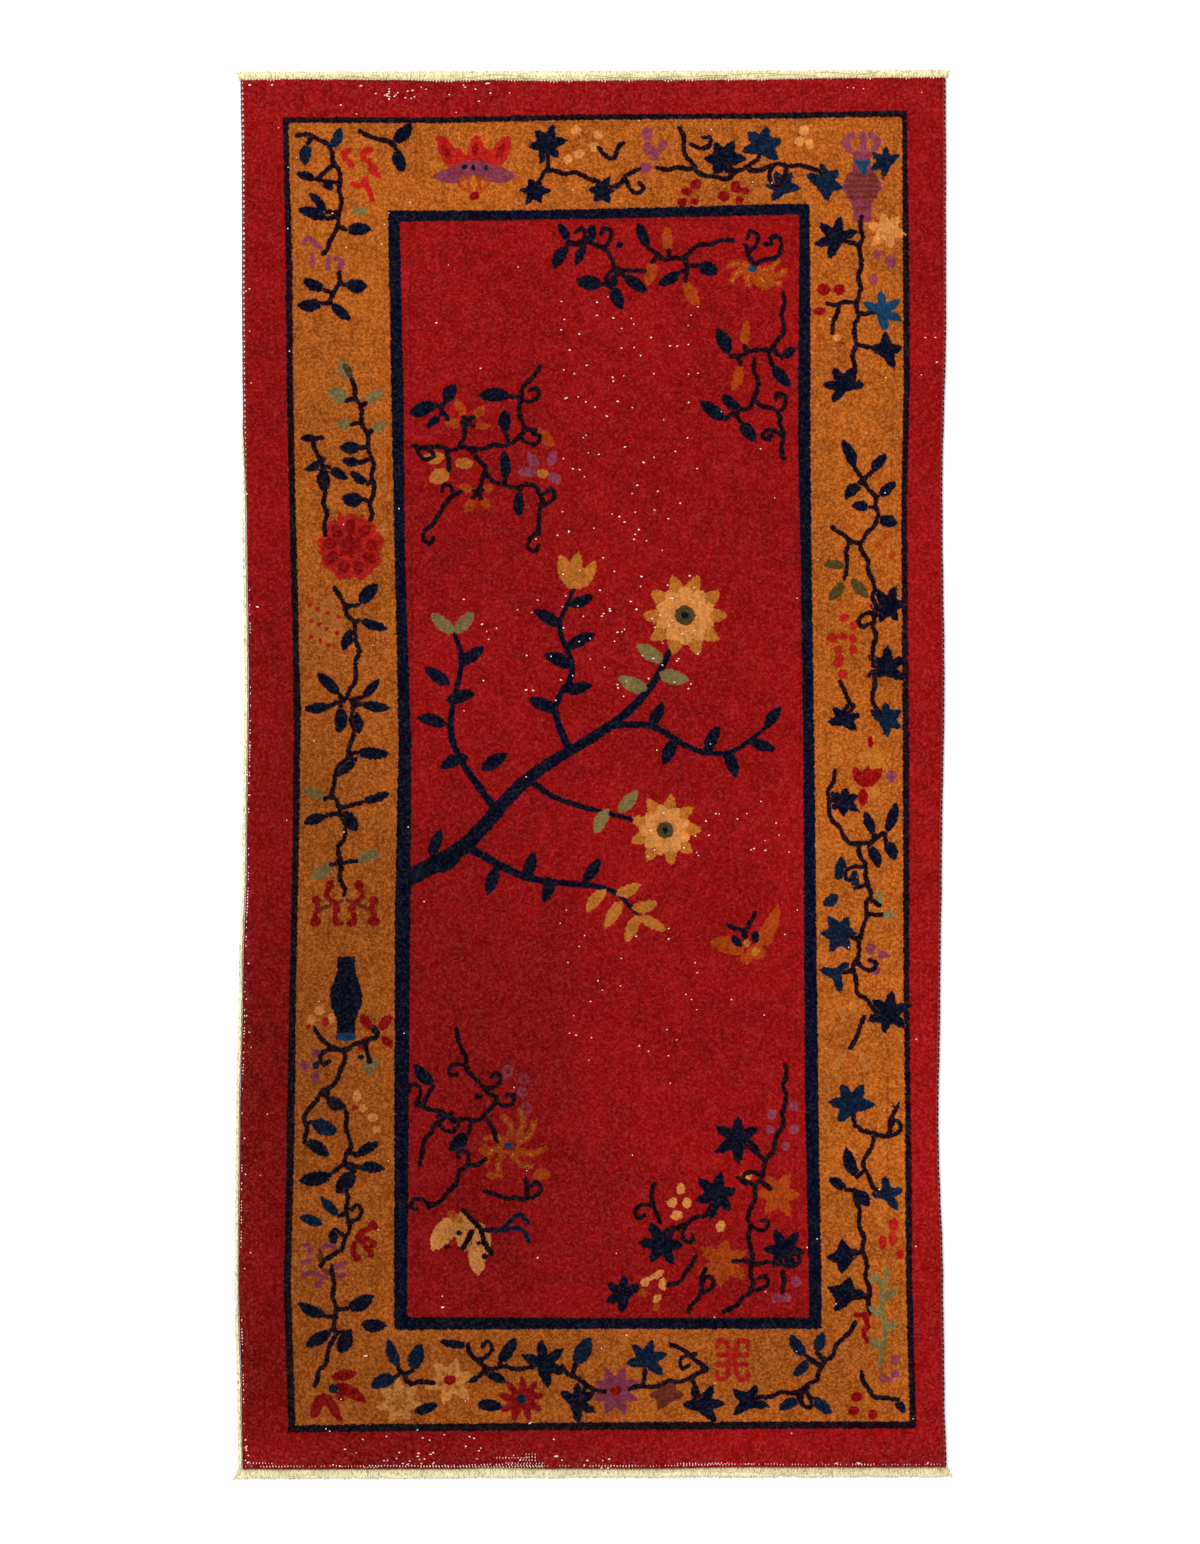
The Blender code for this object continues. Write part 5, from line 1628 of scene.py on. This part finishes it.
class Wiring:
    """Puts shader nodes in a tree and joins them."""

    def __init__(self, tree):
        self.tree = tree

    def feed(self, made, inputs):
        """Join or set the inputs of a node."""
        for name, value in inputs.items():
            socket = made.inputs[name]
            if isinstance(value, bpy.types.NodeSocket):
                self.tree.links.new(value, socket)
            else:
                socket.default_value = value
        return made

    def node(self, kind, inputs, **settings):
        made = self.tree.nodes.new("ShaderNode" + kind)
        for name, value in settings.items():
            setattr(made, name, value)
        return self.feed(made, inputs)

    def math(self, operation, *values):
        return self.node("Math", dict(enumerate(values)), operation=operation).outputs[0]

    def product(self, first, second):
        return self.math("MULTIPLY", first, second)

    def total(self, first, second):
        return self.math("ADD", first, second)

    def less(self, first, second):
        return self.math("SUBTRACT", first, second)

    def times(self, colour, factor):
        return self.node("VectorMath", {0: colour, "Scale": factor}, operation="SCALE").outputs[0]

    def stretched(self, place, amounts):
        return self.node("VectorMath", {0: place, 1: amounts}, operation="MULTIPLY").outputs[0]

    def ramp(self, value, low, high, to_low=0.0, to_high=1.0):
        return self.node("MapRange", {0: value, 1: low, 2: high, 3: to_low, 4: to_high},
                         interpolation_type="SMOOTHSTEP").outputs[0]

    def blend(self, factor, first, second):
        """A mix of two colours, which come from nodes or as red, green and blue."""
        first, second = ((*colour, 1.0) if isinstance(colour, tuple) else colour
                         for colour in (first, second))
        return self.node("Mix", {0: factor, 6: first, 7: second}, data_type="RGBA").outputs[2]

    def noise(self, place, scale, detail):
        return self.node("TexNoise", {"Vector": place, "Scale": scale, "Detail": detail}).outputs[0]

    def value_of(self, name):
        return self.node("Attribute", {}, attribute_name=name).outputs["Fac"]

    def map(self, name):
        return self.node("UVMap", {}, uv_map=name).outputs[0]

    def place(self):
        return self.node("TexCoord", {}).outputs["Object"]


KINDS = {"value": "NodeSocketFloat", "colour": "NodeSocketColor", "place": "NodeSocketVector"}


def new_group(name, inputs, outputs):
    """A node group with named sockets, and the wiring to fill it."""
    group = bpy.data.node_groups.new(name, "ShaderNodeTree")
    for label, (kind, value) in inputs.items():
        socket = group.interface.new_socket(label, in_out="INPUT", socket_type=KINDS[kind])
        if value is not None:
            socket.default_value = value
    for label, kind in outputs.items():
        group.interface.new_socket(label, in_out="OUTPUT", socket_type=KINDS[kind])
    wiring = Wiring(group)
    return wiring, group.nodes.new("NodeGroupInput"), group.nodes.new("NodeGroupOutput")


def put_out(wiring, output, **values):
    """Join the values to the group's outputs of the same names."""
    wiring.feed(output, values)
    return wiring.tree


def fibre_grain():
    """Fine fibres of wool or cotton: a light and dark grain, its height, and where a painted glint lies on
    the fibre ends.
    """
    wiring, given, output = new_group("fibre grain", {
        "Place": ("place", None), "Fineness": ("value", 700.0)},
        {"Grain": "value", "Height": "value", "Tips": "value"})
    place, fineness = given.outputs["Place"], given.outputs["Fineness"]
    fine = wiring.noise(place, fineness, 3.0)
    coarse = wiring.noise(place, wiring.product(fineness, 0.42), 1.0)
    grain = wiring.total(wiring.product(fine, 0.68), wiring.product(coarse, 0.32))
    return put_out(wiring, output, Grain=wiring.ramp(grain, 0.32, 0.68), Height=fine,
                   Tips=wiring.math("POWER", wiring.ramp(grain, 0.30, 0.74), 2.0))


def uneven_dye():
    """Broad, soft unevenness of a dye bath and of age."""
    wiring, given, output = new_group("uneven dye", {"Place": ("place", None)}, {"Patchiness": "value"})
    broad = wiring.noise(given.outputs["Place"], 5.0, 3.0)
    narrow = wiring.noise(given.outputs["Place"], 45.0, 3.0)
    both = wiring.total(wiring.product(broad, 0.45), wiring.product(narrow, 0.55))
    return put_out(wiring, output, Patchiness=wiring.ramp(both, 0.34, 0.66))


def knot_marks():
    """What differs from knot to knot: its tone, how far it spreads, and the gap round it, where painted shade
    goes.
    """
    wiring, given, output = new_group("knot marks", {"Knots": ("place", None)},
                                      {"Tone": "value", "Spread": "value", "Gap": "value"})
    tufts = wiring.node("TexVoronoi", {"Vector": given.outputs["Knots"], "Scale": 1.5, "Randomness": 0.9,
                                       "Smoothness": 0.45},
                        voronoi_dimensions="2D", feature="SMOOTH_F1")
    split = wiring.node("SeparateColor", {0: tufts.outputs["Color"]})
    return put_out(wiring, output, Tone=split.outputs[0],
                   Spread=wiring.less(split.outputs[1], 0.5),
                   Gap=wiring.ramp(tufts.outputs["Distance"], 0.25, 0.75))


def knot_columns():
    """The ribs of the knots' columns, which show most at the ends, and streaks along them."""
    wiring, given, output = new_group("knot columns", {"Knots": ("place", None)}, {"Streaks": "value"})
    drawn = wiring.stretched(given.outputs["Knots"], (1.3, 0.10, 0.0))
    streaks = wiring.ramp(wiring.noise(drawn, 1.0, 1.0), 0.3, 0.7)
    split = wiring.node("SeparateXYZ", {0: given.outputs["Knots"]})
    rib = wiring.math("PINGPONG", split.outputs[0], 0.5)
    near_end = wiring.total(wiring.ramp(split.outputs[1], 9.0, 0.0),
                           wiring.ramp(split.outputs[1], KNOTS_ALONG - 12.0, KNOTS_ALONG, 0.0, 0.35))
    ribs = wiring.product(wiring.product(rib, 4.0), near_end)
    return put_out(wiring, output, Streaks=wiring.less(streaks, wiring.product(ribs, 0.8)))


def charted_wool():
    """The wool that the chart gives, its edge moved by the spread of each knot."""
    wiring, given, output = new_group("charted wool", {"Nudge": ("value", 0.0), "Mottle": ("value", 0.5)},
                                      {"Colour": "colour"})
    colour = DYES[GROUND]
    gold = wiring.blend(given.outputs["Mottle"], DARK_GOLD, PALE_GOLD)
    for wool in CHARTED:
        spread = UNDERLAP if wool == "gold" else DARK_SPREAD if wool in DARK_WOOLS else PALE_SPREAD
        depth = wiring.total(wiring.value_of(wool), wiring.total(given.outputs["Nudge"], spread))
        colour = wiring.blend(wiring.ramp(depth, -EDGE_SOFTNESS, EDGE_SOFTNESS), colour,
                              gold if wool == "gold" else DYES[wool])
    return put_out(wiring, output, Colour=colour)


class Finish(Wiring):
    """A material with its Principled shader, fed by node groups."""

    def __init__(self, name, roughness, sheen=0.0, specular=0.25):
        self.material = bpy.data.materials.new(name)
        self.material.use_nodes = True
        super().__init__(self.material.node_tree)
        self.shader = self.feed(self.tree.nodes["Principled BSDF"], {
            "Roughness": roughness, "Specular IOR Level": specular,
            "Sheen Weight": sheen, "Sheen Roughness": 0.5})

    def group(self, group, **inputs):
        """The outputs of a group, fed by name."""
        return self.node("Group", inputs, node_tree=group).outputs

    def paint(self, colour):
        self.feed(self.shader, {"Base Color": colour})

    def emboss(self, height, strength, distance):
        bump = self.node("Bump", {"Height": height, "Strength": strength, "Distance": distance})
        self.feed(self.shader, {"Normal": bump.outputs[0]})


def shade_factor(finish, middle, *parts):
    """One number that lightens or darkens: a middle, and parts of (value, amount) round it."""
    total = middle
    for value, amount in parts:
        change = finish.product(finish.less(value, 0.5), amount)
        total = finish.total(total, change)
    return total


def pile_finish(groups):
    """Cut wool in the chart's colours, lighter and darker from knot to knot."""
    finish = Finish("cut wool pile", 0.95, sheen=0.02, specular=0.03)
    place, knots_map = finish.place(), finish.map("knots")
    knots = finish.group(groups["knot marks"], Knots=knots_map)
    columns = finish.group(groups["knot columns"], Knots=knots_map)
    fibres = finish.group(groups["fibre grain"], Place=place, Fineness=560.0)
    patches = finish.group(groups["uneven dye"], Place=place)
    nudge = finish.total(finish.product(knots["Spread"], 0.15),
                        finish.product(finish.less(fibres["Grain"], 0.5), 0.12))
    mottle = finish.total(finish.product(knots["Tone"], 0.5),
                         finish.product(fibres["Grain"], 0.5))
    wool = finish.group(groups["charted wool"], Nudge=nudge, Mottle=finish.ramp(mottle, 0.25, 0.75))
    shade = shade_factor(finish, 1.0, (knots["Tone"], 0.34), (fibres["Grain"], 0.50),
                         (patches["Patchiness"], 0.30), (columns["Streaks"], 0.14))
    shade = finish.product(shade, finish.value_of("tone"))
    # Painted shade in the gaps between the tufts.
    shade = finish.less(shade, finish.product(knots["Gap"], 0.06))
    # Painted glint on the fibre ends, added to the wool's colour: most on the lightest tufts, and more again
    # where the pale values raise it.
    tip_glint = finish.product(finish.total(fibres["Tips"], 0.25),
                       finish.math("POWER", knots["Tone"], 2.0))
    tip_glint = finish.product(tip_glint, finish.total(finish.value_of("pale"), 1.0))
    tip_glint = finish.product(tip_glint, 3.7 * TIP_LIGHT)
    lit = finish.node("VectorMath", {0: finish.times(wool["Colour"], shade), 1: tip_glint}, operation="ADD")
    finish.paint(lit.outputs[0])
    finish.emboss(fibres["Height"], 0.6, 0.0009)
    return finish.material


def back_finish(groups):
    """The back of the cloth: flat knots between rows of pale weft."""
    finish = Finish("knotted cloth back", 0.9)
    knots = finish.group(groups["knot marks"], Knots=finish.map("knots"))
    fibres = finish.group(groups["fibre grain"], Place=finish.place(), Fineness=900.0)
    wool = finish.group(groups["charted wool"], Nudge=finish.product(knots["Spread"], 0.1))
    row = finish.node("SeparateXYZ", {0: finish.map("knots")}).outputs[1]
    weft = finish.ramp(finish.math("PINGPONG", row, 0.5), 0.12, 0.0)
    shade = shade_factor(finish, 0.95, (knots["Tone"], 0.24), (fibres["Grain"], 0.3))
    finish.paint(finish.blend(finish.product(weft, 0.45), finish.times(wool["Colour"], shade),
                              WEFT_COLOUR))
    finish.emboss(finish.less(fibres["Height"], weft), 0.6, 0.0006)
    return finish.material


def overcast_finish(groups, name, inner, outer, gap, bead_width):
    """Wool wound round a cord, with painted shade on its outer side, and beads of its cotton core between the
    turns.
    """
    finish = Finish(name, 0.9, sheen=0.02)
    way = finish.node("SeparateXYZ", {0: finish.map("wraps")})
    round_way, wraps = way.outputs[0], way.outputs[1]
    fibres = finish.group(groups["fibre grain"], Place=finish.place(), Fineness=1100.0)
    lean = finish.product(finish.less(round_way, 0.25), 0.9)
    phase = finish.less(finish.math("FRACT", finish.total(wraps, lean)), 0.5)
    across = finish.math("DIVIDE", finish.less(round_way, BEAD_PLACE), bead_width)
    ahead = finish.math("DIVIDE", phase, BEAD_LENGTH)
    apart = finish.math("SQRT", finish.total(finish.math("POWER", ahead, 2.0),
                                            finish.math("POWER", across, 2.0)))
    uneven = finish.product(finish.less(fibres["Grain"], 0.5), 0.4)
    bead = finish.ramp(finish.less(finish.total(finish.value_of("core_shown"), uneven), apart),
                       0.0, 0.2)
    # The outer side of the cord takes the wool's colour in painted shade.
    turned = finish.blend(finish.ramp(round_way, *OUTER_SHADE), inner, outer)
    between = finish.product(finish.ramp(finish.math("ABSOLUTE", phase), 0.36, 0.48),
                          finish.ramp(round_way, *OUTER_SHADE))
    turned = finish.blend(between, turned, gap)
    wool = finish.times(turned, shade_factor(finish, 1.0, (fibres["Grain"], 0.9)))
    finish.paint(finish.blend(bead, wool, CORE_COLOUR))
    finish.emboss(fibres["Height"], 0.6, 0.0005)
    return finish.material


def cotton_finish(groups, name, colour, shadow, shadow_amount):
    """Undyed cotton, yellowed, with darker shadows between its yarns."""
    finish = Finish(name, 0.9)
    fibres = finish.group(groups["fibre grain"], Place=finish.place(), Fineness=800.0)
    patches = finish.group(groups["uneven dye"], Place=finish.place())
    drawn = finish.stretched(finish.place(), (1.0, 0.3, 1.0))
    shadows = finish.ramp(finish.noise(drawn, 620.0, 2.0), 0.50, 0.64)
    shade = shade_factor(finish, 1.0, (fibres["Grain"], 0.22), (patches["Patchiness"], 0.15))
    tinted = finish.blend(finish.product(shadows, shadow_amount), colour, shadow)
    finish.paint(finish.times(tinted, shade))
    finish.emboss(fibres["Height"], 0.5, 0.0005)
    return finish.material


def floor_finish(groups):
    """A plain pale floor."""
    finish = Finish("pale floor", 0.9)
    patches = finish.group(groups["uneven dye"], Place=finish.place())
    finish.paint(finish.times(FLOOR_COLOUR, shade_factor(finish, 1.0, (patches["Patchiness"], 0.004))))
    return finish.material


# ---- The floor, the light and the camera ----

# The photograph: pixels in its width and height, the pixel at the rug's middle, and
# the size of one pixel on the rug.
PHOTO_WIDTH, PHOTO_HEIGHT = 1200, 1544
MIDDLE_PIXEL = (591.0, 774.5)
PIXEL_SIZE = 0.001295
CAMERA_HEIGHT = 6.0

# A big soft lamp beyond the top left corner, and an even pale surround.
LAMP_PLACE = (-1.8, 2.6, 5.2)
LAMP_SIZE = (3.4, 2.4)
LAMP_POWER = 210.0
SURROUND_LIGHT = 0.92
FLOOR_REACH = 6.0
SENSOR_WIDTH = 36.0


def make_floor(material):
    corners = [(x * FLOOR_REACH, y * FLOOR_REACH, 0.0) for x, y in ((-1, -1), (1, -1), (1, 1), (-1, 1))]
    floor = link_mesh("floor", corners, [np.array([[0, 1, 2, 3]])], [material], smooth=False)


def make_light():
    world = bpy.data.worlds.new("studio")
    world.use_nodes = True
    Wiring(world.node_tree).feed(world.node_tree.nodes["Background"], {
        "Color": (1.0, 1.0, 1.0, 1.0), "Strength": SURROUND_LIGHT})
    bpy.context.scene.world = world
    lamp = bpy.data.lights.new("soft box", "AREA")
    lamp.shape = "RECTANGLE"
    lamp.size, lamp.size_y = LAMP_SIZE
    lamp.energy = LAMP_POWER
    box = bpy.data.objects.new("soft box", lamp)
    box.location = LAMP_PLACE
    box.rotation_euler = (Vector((0.0, 0.0, 0.0)) - box.location).to_track_quat("-Z", "Y").to_euler()
    bpy.context.scene.collection.objects.link(box)
    bpy.context.scene.view_settings.view_transform = "Standard"


def make_camera():
    """A camera straight above, with the top of the photograph towards +Y."""
    camera = bpy.data.cameras.new("camera")
    frame_height = PHOTO_HEIGHT * PIXEL_SIZE
    camera.sensor_width = SENSOR_WIDTH
    camera.lens = camera.sensor_width * (CAMERA_HEIGHT - PILE_HEIGHT) / frame_height
    holder = bpy.data.objects.new("camera", camera)
    holder.location = ((PHOTO_WIDTH / 2.0 - MIDDLE_PIXEL[0]) * PIXEL_SIZE,
                       (MIDDLE_PIXEL[1] - PHOTO_HEIGHT / 2.0) * PIXEL_SIZE, CAMERA_HEIGHT)
    bpy.context.scene.collection.objects.link(holder)
    bpy.context.scene.camera = holder


# ---- The rug ----

# Blocks of knots, as first and last row, then first and last column.
WHOLE_RUG = (0, KNOTS_ALONG, 0, KNOTS_ACROSS)
WITHIN_BAND = (14, 450, 16, 216)
WITHIN_BORDER = (50, 417, 55, 185)

# How far the cut side of the pile leans out, and how high, from its rim down.
CUT_SIDE = ((0.00025, 0.0052), (0.00015, 0.0030), (0.0, CLOTH_THICKNESS))


def make_rug():
    """Every piece, from one seeded generator whose draws keep their order."""
    chance = np.random.default_rng(4)
    make_groups = (fibre_grain, uneven_dye, knot_marks, knot_columns, charted_wool)
    groups = {group.name: group for group in (make() for make in make_groups)}
    pile = pile_finish(groups)
    cotton = cotton_finish(groups, "cream cotton", CREAM, CREAM_SHADOW, 0.8)
    bare = cotton_finish(groups, "bare cotton", BARE, BARE_SHADOW, 0.3)
    # Each overcast's colours: its wool, the same wool in painted shade for the outer side, the pale between
    # the turns, then the width of the beads.
    overcast_left = overcast_finish(groups, "overcast wool with cotton", dye(150, 34, 32), dye(70, 22, 22),
                                    dye(176, 110, 92), 0.07)
    overcast_right = overcast_finish(groups, "overcast wool", dye(160, 32, 32), dye(58, 17, 19),
                                     dye(205, 140, 124), 0.05)

    knots = Knots(chance)
    pile_parts = [
        pile_part("pile_field", knots, WITHIN_BORDER, None, CUT_SIDE[-1:], pile),
        pile_part("pile_border", knots, WITHIN_BAND, WITHIN_BORDER, CUT_SIDE[-1:], pile),
        pile_part("pile_band", knots, WHOLE_RUG, WITHIN_BAND, CUT_SIDE, pile),
    ]
    cloth = ground_cloth(back_finish(groups))
    flecks = bare_cotton(bare, chance)
    left = overcast_cord("overcast_left", 0.0, overcast_left, chance)
    right = overcast_cord("overcast_right", 1.0, overcast_right, chance)
    side_warps = bare_side_warps(cotton, chance)
    ends = [top_end_warps(cotton, chance), bottom_end_warps(bare, chance)]
    for end, outward, wefts in (("top", 1.0, TOP_WEFTS), ("bottom", -1.0, BOTTOM_WEFTS)):
        web = woven_web("web_" + end, outward, cotton, chance)
        ends += [web, frayed_yarns("frayed_yarns_" + end, outward, wefts, cotton, chance)]
        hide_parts("web_end_" + end)
    for part in pile_parts + [cloth]:
        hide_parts("pile_body")
    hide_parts("selvedge_left")
    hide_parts("selvedge_right")
    pieces = pile_parts + [cloth, flecks, left, right, side_warps] + ends
    for piece in pieces:
        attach(piece, "root")
    make_floor(floor_finish(groups))


make_camera()
make_rug()
make_light()
